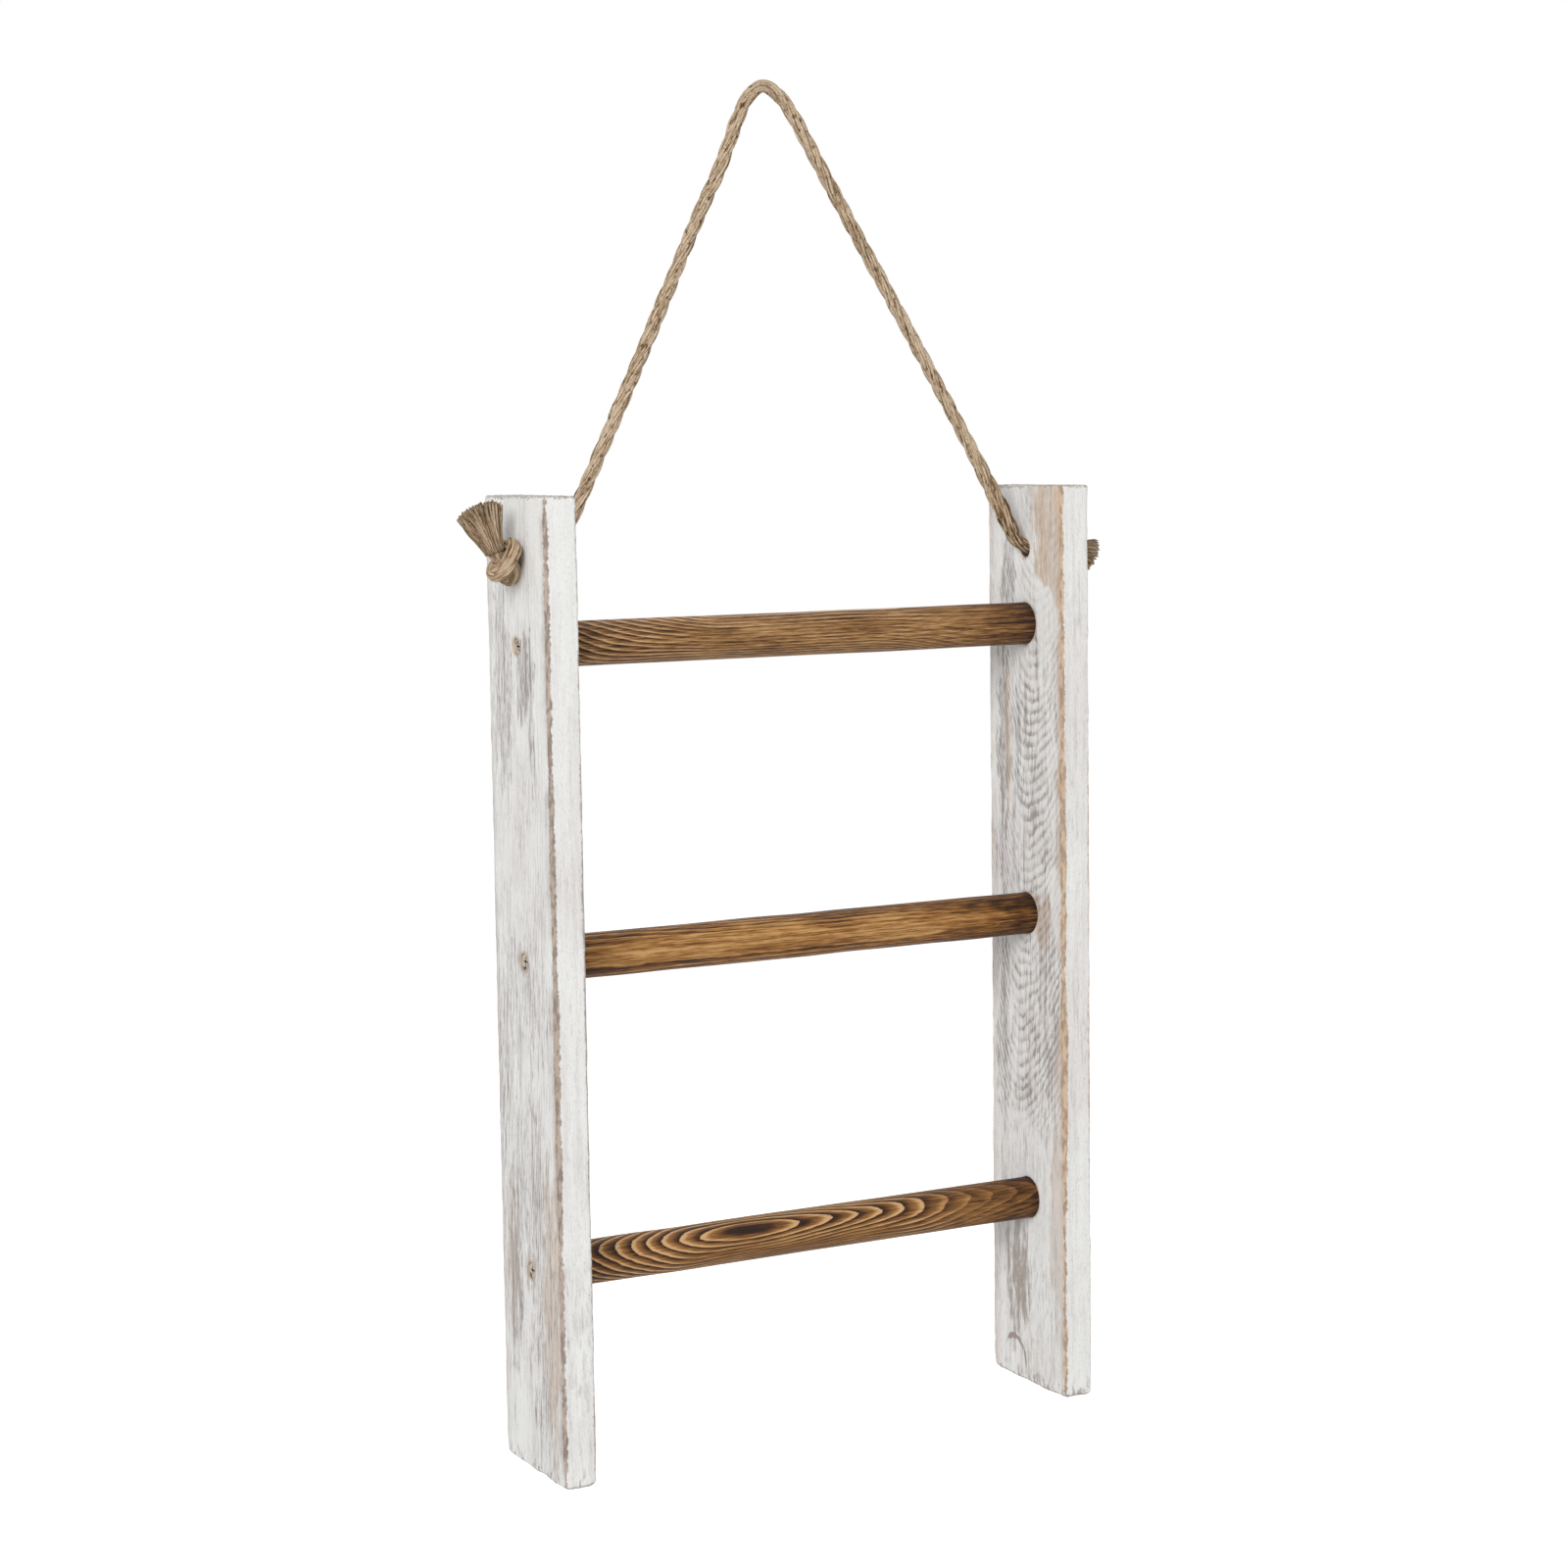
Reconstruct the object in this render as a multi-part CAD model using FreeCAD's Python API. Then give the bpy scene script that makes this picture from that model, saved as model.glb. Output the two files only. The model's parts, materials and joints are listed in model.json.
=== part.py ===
import FreeCAD
import Part
import math
import os

# Rope-hung towel ladder: two pine posts, three round rungs let into them and held by screws, and a jute rope
# that passes through both posts and is stopped by a knot outside each one.
# The origin is where the rope's bend rests on its hook or nail, +Z is up, +X runs along the rungs and +Y
# points at the wall that the posts' back edges touch.

# Driving sizes, in millimetres
LADDER_WIDTH = 306.0
POST_HEIGHT = 480.0
POST_DEPTH = 70.0
POST_THICKNESS = 17.0
ARRIS_RADIUS = 1.6

RUNG_NAMES = ("bottom_rung", "middle_rung", "top_rung")
RUNG_DIAMETER = 22.0
TOP_RUNG_DROP = 72.0
BOTTOM_RUNG_HEIGHT = 102.0
RUNG_END_CHAMFER = 0.8
SOCKET_DEPTH = 6.0
SOCKET_CLEARANCE = 0.1

SCREW_DIAMETER = 4.0
SCREW_LENGTH = 40.0
SCREW_POINT_LENGTH = 6.0
SCREW_HEAD_DIAMETER = 8.0
SCREW_HEAD_HEIGHT = 2.3
SCREW_HEAD_RIM = 0.4
SCREW_HEAD_SINK = 0.8
SCREW_CLEARANCE = 0.1
DRIVE_SPAN = 4.2
DRIVE_WIDTH = 0.9
DRIVE_DEPTH = 1.3

ROPE_DIAMETER = 6.5
ROPE_HOLE_DIAMETER = 9.0
ROPE_HOLE_DROP = 33.0
ROPE_HOLE_CHAMFER = 0.8
HANG_RISE = 234.0
HOOK_WALL_GAP = 8.5
HOOK_BEND_RADIUS = 12.0
HOOK_SEAT_LENGTH = 2.0
EXIT_BEND_RADIUS = 9.0
EXIT_BEND_INSET = 3.0

KNOT_STRAND_DIAMETER = 5.5
KNOT_STRAND_GAP = 0.55
KNOT_STRAND_SIDES = 8
KNOT_STEPS = 72
TAIL_RIDGES = 11
LEFT_TAIL_LENGTH = 21.0
RIGHT_TAIL_LENGTH = 9.5
LEFT_TAIL_WIDTH = 25.0
RIGHT_TAIL_WIDTH = 20.0
TAIL_THICKNESS = 9.0

CUT_OVERRUN = 1.0

# The overhand stopper knot, from the post's outer face to the foot of the tail: distance from the rope hole's
# axis as a share of the strands' pitch, turn about that axis in degrees from the tail, and height above the
# post's face as a share of the same pitch. The rope goes straight out, folds over, winds once round itself
# and comes out again under its own first turn. The left tail then turns up, and the right one runs outwards
# and a little down.
KNOT_ROUTE_SHARES = (
    (0.00, 0, 0.00),
    (0.00, 0, 1.48),
    (0.60, -85, 1.95),
    (1.55, -58, 1.86),
    (2.30, -15, 1.34),
    (2.30, 25, 1.02),
    (1.68, 65, 0.86),
    (1.14, 110, 0.80),
    (1.12, 155, 0.74),
    (1.12, 200, 0.68),
    (1.12, 245, 0.60),
    (1.12, 288, 0.51),
    (1.14, 324, 0.51),
    (1.16, 350, 0.86),
    (1.10, 362, 1.45),
)
KNOT_END_SHARES = {
    "left": ((1.20, 374, 1.95), (1.55, 388, 2.35)),
    "right": ((1.15, 366, 2.00),),
}
FULLEST_BEND_SHARE = 0.45

# How each knot was left: the turn at which its tail comes out, from the front edge upwards, the way that the
# tail points and the way that its brush spreads, both as outward, forward and upward shares.
KNOT_TURN = {"left": 20.0, "right": -25.0}
TAIL_WAY_SHARES = {"left": (0.16, 0.00, 0.98), "right": (0.90, 0.10, -0.42)}
TAIL_SPREAD_SHARES = {"left": (0.90, -0.30, -0.25), "right": (0.42, 0.00, 0.90)}
TAIL_LENGTHS = {"left": LEFT_TAIL_LENGTH, "right": RIGHT_TAIL_LENGTH}
TAIL_WIDTHS = {"left": LEFT_TAIL_WIDTH, "right": RIGHT_TAIL_WIDTH}
TAIL_WAIST_SHARE = 0.3
TAIL_GROOVE_SHARE = 0.86
GAP_SAMPLE_SHARE = 0.125
SLOPE_REPEATS = 6

# Places worked out from the sizes
SIDES = {"left": -1, "right": 1}
POST_BACK = HOOK_WALL_GAP
POST_FRONT = POST_BACK - POST_DEPTH
ROPE_RADIUS = ROPE_DIAMETER / 2
HOLE_Y = POST_BACK - POST_DEPTH / 2
HOLE_Z = ROPE_RADIUS - HANG_RISE
POST_TOP = HOLE_Z + ROPE_HOLE_DROP
POST_FOOT = POST_TOP - POST_HEIGHT
OUTER_X = LADDER_WIDTH / 2
INNER_X = OUTER_X - POST_THICKNESS
SOCKET_FLOOR_X = INNER_X + SOCKET_DEPTH
STRAND_PITCH = KNOT_STRAND_DIAMETER + KNOT_STRAND_GAP
RUNG_PITCH = (POST_HEIGHT - TOP_RUNG_DROP - BOTTOM_RUNG_HEIGHT) / (len(RUNG_NAMES) - 1)
RUNG_Z = [POST_FOOT + BOTTOM_RUNG_HEIGHT + RUNG_PITCH * step for step in range(len(RUNG_NAMES))]

V = FreeCAD.Vector
AXIS_Z = V(0, 0, 1)


def turned(profile, foot, way):
    """A solid of revolution from (distance along the axis, radius) pairs, its axis from foot along way."""
    outline = [V(radius, 0, along) for along, radius in profile]
    face = Part.Face(Part.makePolygon(outline + outline[:1]))
    solid = face.revolve(V(), AXIS_Z, 360)
    solid.Placement = FreeCAD.Placement(foot, FreeCAD.Rotation(AXIS_Z, way))
    return solid


def straight_bore(radius, start, end):
    return [(start, 0), (start, radius), (end, radius), (end, 0)]


def rope_hole_profile():
    radius = ROPE_HOLE_DIAMETER / 2
    mouth = radius + ROPE_HOLE_CHAMFER + CUT_OVERRUN
    inner = ROPE_HOLE_CHAMFER
    return [
        (-CUT_OVERRUN, 0),
        (-CUT_OVERRUN, mouth),
        (inner, radius),
        (POST_THICKNESS - inner, radius),
        (POST_THICKNESS + CUT_OVERRUN, mouth),
        (POST_THICKNESS + CUT_OVERRUN, 0),
    ]


def screw_hole_profile():
    """The countersunk hole through a post, from its outer face inwards."""
    head = SCREW_HEAD_DIAMETER / 2 + SCREW_CLEARANCE
    shank = SCREW_DIAMETER / 2 + SCREW_CLEARANCE
    rim = SCREW_HEAD_SINK + SCREW_HEAD_RIM
    neck = SCREW_HEAD_SINK + SCREW_HEAD_HEIGHT
    end = POST_THICKNESS - SOCKET_DEPTH + CUT_OVERRUN
    return [(-CUT_OVERRUN, 0), (-CUT_OVERRUN, head), (rim, head), (neck, shank), (end, shank), (end, 0)]


def screw_profile():
    head = SCREW_HEAD_DIAMETER / 2
    shank = SCREW_DIAMETER / 2
    point = SCREW_LENGTH - SCREW_POINT_LENGTH
    return [
        (0, 0),
        (0, head),
        (SCREW_HEAD_RIM, head),
        (SCREW_HEAD_HEIGHT, shank),
        (point, shank),
        (SCREW_LENGTH, 0),
    ]


def make_post(side):
    """One board with eased arrises, blind rung sockets, countersunk screw holes and the rope's hole."""
    left_x = min(side * OUTER_X, side * INNER_X)
    post = Part.makeBox(POST_THICKNESS, POST_DEPTH, POST_HEIGHT, V(left_x, POST_FRONT, POST_FOOT))
    post = post.makeFillet(ARRIS_RADIUS, post.Edges)
    inwards = V(-side, 0, 0)
    outwards = V(side, 0, 0)
    socket_radius = RUNG_DIAMETER / 2 + SOCKET_CLEARANCE
    cuts = [turned(rope_hole_profile(), V(side * OUTER_X, HOLE_Y, HOLE_Z), inwards)]
    for z in RUNG_Z:
        socket = straight_bore(socket_radius, -CUT_OVERRUN, SOCKET_DEPTH)
        cuts.append(turned(socket, V(side * INNER_X, HOLE_Y, z), outwards))
        cuts.append(turned(screw_hole_profile(), V(side * OUTER_X, HOLE_Y, z), inwards))
    return post.cut(cuts)


def make_rung(z):
    """A dowel with chamfered ends and a pilot hole for the screw in each."""
    radius = RUNG_DIAMETER / 2
    reach = SOCKET_FLOOR_X - SOCKET_CLEARANCE
    rung = turned(
        [
            (-reach, 0),
            (-reach, radius - RUNG_END_CHAMFER),
            (RUNG_END_CHAMFER - reach, radius),
            (reach - RUNG_END_CHAMFER, radius),
            (reach, radius - RUNG_END_CHAMFER),
            (reach, 0),
        ],
        V(0, HOLE_Y, z),
        V(1, 0, 0),
    )
    pilot_end = SCREW_HEAD_SINK + SCREW_LENGTH + SCREW_CLEARANCE
    pilot_start = OUTER_X - reach - CUT_OVERRUN
    pilot = straight_bore(SCREW_DIAMETER / 2 + SCREW_CLEARANCE, pilot_start, pilot_end)
    pilots = [turned(pilot, V(side * OUTER_X, HOLE_Y, z), V(-side, 0, 0)) for side in SIDES.values()]
    return rung.cut(pilots)


def make_screw(side, z):
    """A countersunk wood screw with a cross recess, its thread left plain."""
    head_x = side * (OUTER_X - SCREW_HEAD_SINK)
    screw = turned(screw_profile(), V(head_x, HOLE_Y, z), V(-side, 0, 0))
    thickness = 2 * DRIVE_DEPTH
    low_x = head_x - thickness / 2
    slots = []
    for across, tall in ((DRIVE_SPAN, DRIVE_WIDTH), (DRIVE_WIDTH, DRIVE_SPAN)):
        corner = V(low_x, HOLE_Y - across / 2, z - tall / 2)
        slots.append(Part.makeBox(thickness, across, tall, corner))
    return screw.cut(slots)


def rounded_path(points, radii):
    """Straight runs through the points, joined by tangent arcs of the given radii, as a list of edges."""
    edges = []
    here = points[0]
    for before, corner, after, radius in zip(points, points[1:], points[2:], radii):
        back = (before - corner).normalize()
        ahead = (after - corner).normalize()
        half_turn = (math.pi - back.getAngle(ahead)) / 2
        reach = radius * math.tan(half_turn)
        inwards = (back + ahead).normalize()
        middle = corner + inwards * (radius / math.cos(half_turn) - radius)
        start = corner + back * reach
        end = corner + ahead * reach
        edges.append(Part.LineSegment(here, start).toShape())
        edges.append(Part.Arc(start, middle, end).toShape())
        here = end
    edges.append(Part.LineSegment(here, points[-1]).toShape())
    return edges


def fullest_radii(points):
    """The largest arcs that the runs on both sides of each inner point allow."""
    radii = []
    for before, corner, after in zip(points, points[1:], points[2:]):
        turn = (corner - before).getAngle(after - corner)
        shorter = min(corner.distanceToPoint(before), corner.distanceToPoint(after))
        radii.append(FULLEST_BEND_SHARE * shorter / math.tan(turn / 2))
    return radii


def ring(centre, long_way, short_way, radii):
    """Corners about a centre, one for each radius, in the plane of the two ways."""
    corners = []
    for step, radius in enumerate(radii):
        angle = math.tau * step / len(radii)
        corners.append(centre + (long_way * math.cos(angle) + short_way * math.sin(angle)) * radius)
    return corners


def facet(corners):
    return Part.Face(Part.makePolygon([*corners, corners[0]]))


def skinned(rings):
    """A solid between rings of as many corners each, closed at both ends, in flat faces."""
    faces = [facet(rings[0]), facet(rings[-1])]
    for lower, upper in zip(rings, rings[1:]):
        for i in range(len(lower)):
            faces.append(facet((lower[i - 1], lower[i], upper[i])))
            faces.append(facet((lower[i - 1], upper[i], upper[i - 1])))
    shell = Part.makeShell(faces)
    shell.sewShape()
    return Part.makeSolid(shell)


def report_tube(name, path, radii, diameter, volume_share):
    """Prints a tube's length, bends, volume against its section times its length, and least gap to itself."""
    bends = " ".join(f"{radius:.1f}" for radius in radii)
    print(f"{name}: length {path.Length:.1f}, bend radii {bends}, volume share {volume_share:.4f}")
    line = path.discretize(Distance=GAP_SAMPLE_SHARE * diameter)
    apart = math.ceil(len(line) * math.pi * diameter / path.Length)
    gaps = [a.distanceToPoint(b) for i, a in enumerate(line) for b in line[i + apart :]]
    print(f"{name}: least gap to itself {min(gaps) - diameter:.2f}")


def make_rope():
    """The stretch between the posts: a round tube along the rope's route."""
    points = rope_route()
    radii = [EXIT_BEND_RADIUS, HOOK_BEND_RADIUS, HOOK_BEND_RADIUS, EXIT_BEND_RADIUS]
    path = Part.Wire(rounded_path(points, radii))
    section = Part.Circle(points[0], points[1] - points[0], ROPE_DIAMETER / 2).toShape()
    tube = path.makePipeShell([Part.Wire(section)], True, False)
    share = tube.Volume / (math.pi * ROPE_RADIUS**2 * path.Length)
    report_tube("hanging_rope", path, radii, ROPE_DIAMETER, share)
    return tube


def make_knot(name, points):
    """A knotted stretch: a tube of flat faces, because its tight bends would take too many round ones."""
    radii = fullest_radii(points)
    path = Part.Wire(rounded_path(points, radii))
    line = path.discretize(Number=KNOT_STEPS)
    longer = [line[0] * 2 - line[1], *line, line[-1] * 2 - line[-2]]
    way = points[1] - points[0]
    flat = way.cross(AXIS_Z).normalize()
    rings = []
    for before, centre, after in zip(longer, line, longer[2:]):
        flat = FreeCAD.Rotation(way, after - before).multVec(flat)
        way = (after - before).normalize()
        rings.append(ring(centre, flat, way.cross(flat), [KNOT_STRAND_DIAMETER / 2] * KNOT_STRAND_SIDES))
    knot = skinned(rings)
    share = knot.Volume / (facet(rings[0]).Area * path.Length)
    report_tube(f"{name}_knot", path, radii, KNOT_STRAND_DIAMETER, share)
    return knot


def rope_route():
    """The rope's corners: through each post, up to the hook and over it, in a plane that leans back."""
    rise = V(0, -HOLE_Y, HANG_RISE)
    half_span = INNER_X + EXIT_BEND_INSET
    # The bend at the hole and the bend at the hook share one leg, so its slope is found by a few repeats.
    slope = math.atan2(rise.Length, half_span)
    for _ in range(SLOPE_REPEATS):
        exit_x = half_span - EXIT_BEND_RADIUS * math.tan(slope / 2)
        shoulder_x = HOOK_SEAT_LENGTH / 2 + HOOK_BEND_RADIUS * math.tan(slope / 2)
        slope = math.atan2(rise.Length, exit_x - shoulder_x)
    hole = V(0, HOLE_Y, HOLE_Z)
    left = [hole - V(OUTER_X, 0, 0), hole - V(exit_x, 0, 0), hole + rise - V(shoulder_x, 0, 0)]
    right = [V(-point.x, point.y, point.z) for point in reversed(left)]
    return left + right


def knot_frame(name):
    """Where a knot sits on its post's outer face, with its outward, forward and upward directions."""
    side = SIDES[name]
    return V(side * OUTER_X, HOLE_Y, HOLE_Z), V(side, 0, 0), V(0, -1, 0), AXIS_Z


def knot_route(name):
    seat, outward, forward, upward = knot_frame(name)
    points = []
    for radius_share, turn, height_share in KNOT_ROUTE_SHARES + KNOT_END_SHARES[name]:
        angle = math.radians(turn + KNOT_TURN[name])
        aside = (forward * math.cos(angle) + upward * math.sin(angle)) * (radius_share * STRAND_PITCH)
        points.append(seat + outward * (height_share * STRAND_PITCH) + aside)
    return points


def directed(name, shares):
    _, outward, forward, upward = knot_frame(name)
    return (outward * shares[0] + forward * shares[1] + upward * shares[2]).normalize()


def brush_ring(centre, way, spread, width, thickness):
    """A ridged oval across way, its long axis along spread, with a ridge for each bundle of yarns."""
    flat = (spread - way * spread.dot(way)).normalize()
    depth_shares = [1, TAIL_GROOVE_SHARE] * TAIL_RIDGES
    return ring(centre, flat * (width / 2), way.cross(flat) * (thickness / 2), depth_shares)


def make_tail(name, foot, foot_way):
    """The frayed end of the rope: a brush that flares from the knot's last strand to a flat fan."""
    way = directed(name, TAIL_WAY_SHARES[name])
    spread = directed(name, TAIL_SPREAD_SHARES[name])
    bend = (foot_way + way).normalize()
    length = TAIL_LENGTHS[name]
    width = TAIL_WIDTHS[name]
    waist = foot + bend * (TAIL_WAIST_SHARE * length)
    end = waist + way * ((1 - TAIL_WAIST_SHARE) * length)
    strand = KNOT_STRAND_DIAMETER
    waist_width = strand + TAIL_WAIST_SHARE * (width - strand)
    waist_thickness = strand + TAIL_WAIST_SHARE * (TAIL_THICKNESS - strand)
    rings = [
        brush_ring(foot, foot_way, spread, strand, strand),
        brush_ring(waist, bend, spread, waist_width, waist_thickness),
        brush_ring(end, way, spread, width, TAIL_THICKNESS),
    ]
    return skinned(rings)


def build():
    """Every node's shape by name."""
    nodes = {}
    for name, side in SIDES.items():
        nodes[f"{name}_post"] = make_post(side)
    for name, z in zip(RUNG_NAMES, RUNG_Z):
        nodes[name] = make_rung(z)
    nodes["rung_screws"] = Part.makeCompound([make_screw(side, z) for side in SIDES.values() for z in RUNG_Z])
    nodes["hanging_rope"] = make_rope()
    for name in SIDES:
        route = knot_route(name)
        nodes[f"{name}_knot"] = make_knot(name, route)
        nodes[f"{name}_tail"] = make_tail(name, route[-1], (route[-1] - route[-2]).normalize())
    return nodes


os.makedirs("parts", exist_ok=True)
for node, shape in build().items():
    print(f"{node}: valid {shape.isValid()}, solids {len(shape.Solids)}, volume {shape.Volume:.1f}")
    shape.exportStep(f"parts/{node}.step")
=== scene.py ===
"""A rope-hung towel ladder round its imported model: whitewashed posts, scorched rungs and jute rope."""

import json
import math

import bpy
import numpy as np
from mathutils import Matrix, Vector


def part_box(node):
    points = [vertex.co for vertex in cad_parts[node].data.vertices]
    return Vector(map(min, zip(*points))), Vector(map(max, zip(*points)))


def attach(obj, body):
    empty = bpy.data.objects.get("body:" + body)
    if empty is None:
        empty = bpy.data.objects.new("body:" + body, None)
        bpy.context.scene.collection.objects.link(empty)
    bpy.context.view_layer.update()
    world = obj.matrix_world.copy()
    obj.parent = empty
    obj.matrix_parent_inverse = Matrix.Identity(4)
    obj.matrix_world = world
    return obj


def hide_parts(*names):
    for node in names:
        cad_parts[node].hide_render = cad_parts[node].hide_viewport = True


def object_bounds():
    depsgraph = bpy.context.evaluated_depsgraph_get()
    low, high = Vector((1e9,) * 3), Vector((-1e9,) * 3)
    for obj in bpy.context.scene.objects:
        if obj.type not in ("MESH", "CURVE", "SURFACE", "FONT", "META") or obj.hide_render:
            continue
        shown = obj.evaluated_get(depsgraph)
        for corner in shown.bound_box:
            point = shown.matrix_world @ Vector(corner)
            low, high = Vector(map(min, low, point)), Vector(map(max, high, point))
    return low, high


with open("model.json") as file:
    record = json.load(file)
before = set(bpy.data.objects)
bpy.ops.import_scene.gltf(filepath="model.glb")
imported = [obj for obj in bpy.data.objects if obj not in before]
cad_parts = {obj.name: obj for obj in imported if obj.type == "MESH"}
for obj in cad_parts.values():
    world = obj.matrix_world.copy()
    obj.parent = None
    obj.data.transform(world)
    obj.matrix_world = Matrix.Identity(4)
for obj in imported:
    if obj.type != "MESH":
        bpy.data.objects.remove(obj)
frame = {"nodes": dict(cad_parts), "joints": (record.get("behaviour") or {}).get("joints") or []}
cad_low, cad_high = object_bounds()

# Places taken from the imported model, in metres: +X along the rungs, +Y towards the wall, +Z up
HOLE_AXIS = np.array(frame["joints"][0]["pos_m"])
POST_NAMES = ("left_post", "right_post")
RUNG_NAMES = ("top_rung", "middle_rung", "bottom_rung")
POSTS = {name: [np.array(corner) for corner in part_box(name)] for name in POST_NAMES}
RUNGS = {name: [np.array(corner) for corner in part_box(name)] for name in RUNG_NAMES}
RUNG_HEIGHTS = [(low[2] + high[2]) / 2 for low, high in RUNGS.values()]
RUNG_RADIUS = (RUNGS["top_rung"][1][2] - RUNGS["top_rung"][0][2]) / 2
OUTER_X = POSTS["right_post"][1][0]
INNER_X = POSTS["right_post"][0][0]
MILLIMETRES = 1000.0
# The posts' faces along X, in millimetres
OUTER_FACE = OUTER_X * MILLIMETRES
INNER_FACE = INNER_X * MILLIMETRES

# Posts
ARRIS_RADIUS = 0.0015
FOOT_WEAR = 0.0022
FOOT_WEAR_REACH = 0.005
FACE_SWELL = 0.00018
GRAIN_RELIEF = 0.00013
SKIN_FINE = 0.0004
SKIN_BAND = 0.0036
SKIN_ACROSS = 0.0013
SKIN_ALONG = 0.0022
SHARP_ANGLE = math.radians(40)

# Noise in the shapes, in layers of (share, cells per metre), or in cells per metre
ARRIS_NOISE = ((0.30, 70), (0.35, 230))
FOOT_NOISE = ((0.5, 90),)
SWELL_CELLS = (45, 45, 14)
GRAIN_CELLS = (420, 420, 16)

# Holes in the posts and rungs
SOCKET_DEPTH = 0.006
SOCKET_CLEARANCE = 0.0001
SCREW_RECESS_RADIUS = 0.0041
SCREW_RECESS_DEPTH = 0.0012
SCREW_NECK_DEPTH = 0.0031
SCREW_BORE_RADIUS = 0.0021
SCREW_PILOT_DEPTH = 0.0409
ROPE_HOLE_RADIUS = 0.0045
ROPE_HOLE_LIP = 0.0010
CUT_OVERRUN = 0.002
HOLE_SIDES = 48

# Rungs
RUNG_SIDES = 72
RUNG_STEP = 0.0025
RUNG_END_CHAMFER = 0.0008
RUNG_UNEVENNESS = 0.00022
RUNG_NOISE = ((1, (40, 90, 90)), (0.5, (30, 330, 330)))
RUNG_BOW_CELLS = (9, 0, 0)

# Rope
ROPE_DIAMETER = 0.0065
KNOT_ROPE_DIAMETER = 0.0074
ROPE_SWELL = 1.12
STRANDS = 3
STRAND_SHARE = 0.64
LAY_LENGTH = 0.037
YARNS = 7
YARN_LAY_LENGTH = 0.034
YARN_GROOVE = 0.20
YARN_SIDES = 5
ROPE_STEP = 0.00082
SPLINE_RESOLUTION = 32

# Noise in the rope: shares of the widths, cells per metre, and cells between yarns and between strands
ROPE_UNEVENNESS = 0.035
ROPE_CELLS = 45
STRAND_UNEVENNESS = 0.04
STRAND_CELLS = (90, 5.5)
YARN_UNEVENNESS = 0.05
YARN_CELLS = (140, 1.7, 9.0)
LAY_WANDER = 0.15

# The rope's bunching before its right hole: how much thicker, and where along X it comes and goes
BUNCHING = 0.22
BUNCHED_ALONG_X = ((0.107, 0.120, 0.128, 0.1335), (0, 1, 1, 0))

# The rope's route from its left hole over the hook to its right hole
ROPE_ROUTE = (
    (-0.1530, -0.0265, -0.23075), (-0.1336, -0.0265, -0.23075),
    (-0.1240, -0.0246, -0.21370), (-0.1122, -0.0222, -0.19300),
    (-0.0815, -0.0159, -0.13700), (-0.0619, -0.0117, -0.10000),
    (-0.0406, -0.0072, -0.06000), (-0.0297, -0.0051, -0.04200),
    (-0.0244, -0.0039, -0.03120), (-0.0082, 0.0, 0.00325),
    (0.0082, 0.0, 0.00325), (0.0269, -0.0039, -0.03120),
    (0.0536, -0.0094, -0.08000), (0.0854, -0.0159, -0.13700),
    (0.1138, -0.0219, -0.19000), (0.1254, -0.0246, -0.21370),
    (0.1336, -0.0265, -0.23075), (0.1530, -0.0265, -0.23075),
)

# The overhand stopper knots: distance from the hole's axis, turn about it and height above the post's face.
# Both lengths are shares of the pitch of the knot's turns. A turn is in degrees from the front upwards, and
# the knot's own turn is added to it.
KNOT_PITCH = 0.00605
KNOT_ROUTE_SHARES = (
    (0.00, 0, 1.48), (0.60, -70, 2.02),
    (1.55, -46, 2.08), (2.26, -18, 1.50),
    (2.26, 13, 0.78), (1.80, 52, 0.64),
    (1.22, 104, 0.72), (1.12, 155, 0.74),
    (1.12, 200, 0.68), (1.12, 245, 0.60),
    (1.12, 288, 0.51), (1.14, 324, 0.51),
    (1.16, 350, 0.86), (1.10, 362, 1.45),
)
KNOT_END_SHARES = {
    "left": ((1.26, 377, 1.95), (1.68, 396, 2.20)),
    "right": ((1.15, 366, 2.00),),
}
SIDES = {"left": -1, "right": 1}
KNOT_TURN = {"left": 20.0, "right": -25.0}

# The frayed ends: the way that each points and spreads, as outward, forward and upward shares
TAIL_WAY_SHARES = {"left": (0.36, 0.00, 0.93), "right": (0.90, 0.10, -0.42)}
TAIL_SPREAD_SHARES = {"left": (0.90, -0.30, -0.25), "right": (0.42, 0.00, 0.90)}
TAIL_LENGTHS = {"left": 0.0222, "right": 0.0098}
TAIL_WIDTHS = {"left": 0.0250, "right": 0.0200}
TAIL_THICKNESS = 0.0090
TAIL_WAIST_SHARE = 0.3
TAIL_YARNS = 150
TAIL_YARN_RADIUS = 0.00064
TAIL_ROOT_SHARE = 0.66
TAIL_STEPS = 14
TAIL_SIDES = 7
TAIL_STREAKS = 3.0
TAIL_TAPER = ((0, 0.45, 0.92, 1), (0.70, 0.95, 1.0, 0.6))
TAIL_ROUNDING = 0.16
TAIL_ROOT_DEPTH = 0.002
TAIL_BENDS = (0.18, 0.45)
TAIL_FLAT_LEAN = 0.45
TAIL_THICK_LEAN = 0.2
GOLDEN_ANGLE = math.pi * (3 - math.sqrt(5))

# How much the yarns of a frayed end differ from each other
TAIL_TURN_STRAY = 0.12
TAIL_END_STRAY = (-0.0008, 0.0003)
TAIL_LEAN_STRAY = 0.05
TAIL_HALF_WAVES = (1, 3)
TAIL_SWAY = 0.0003
TAIL_YARN_SIZES = (0.75, 1.15)

# Loose fibres
FIBRE_RADIUS = 0.00004
FIBRE_LENGTH = 0.0042
ROPE_FIBRES = 2200
TAIL_FIBRES = 160
FIBRE_STEPS = 6
FIBRE_SIDES = 3
FIBRE_SIZES = (0.3, 1.0)
FIBRE_LIFT = 0.45
FIBRE_DROOP = 0.25
FIBRE_STRAY = 0.18
FIBRE_ROOT_DEPTH = 0.0002
FIBRE_TIP_SHARE = 0.4

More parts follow.
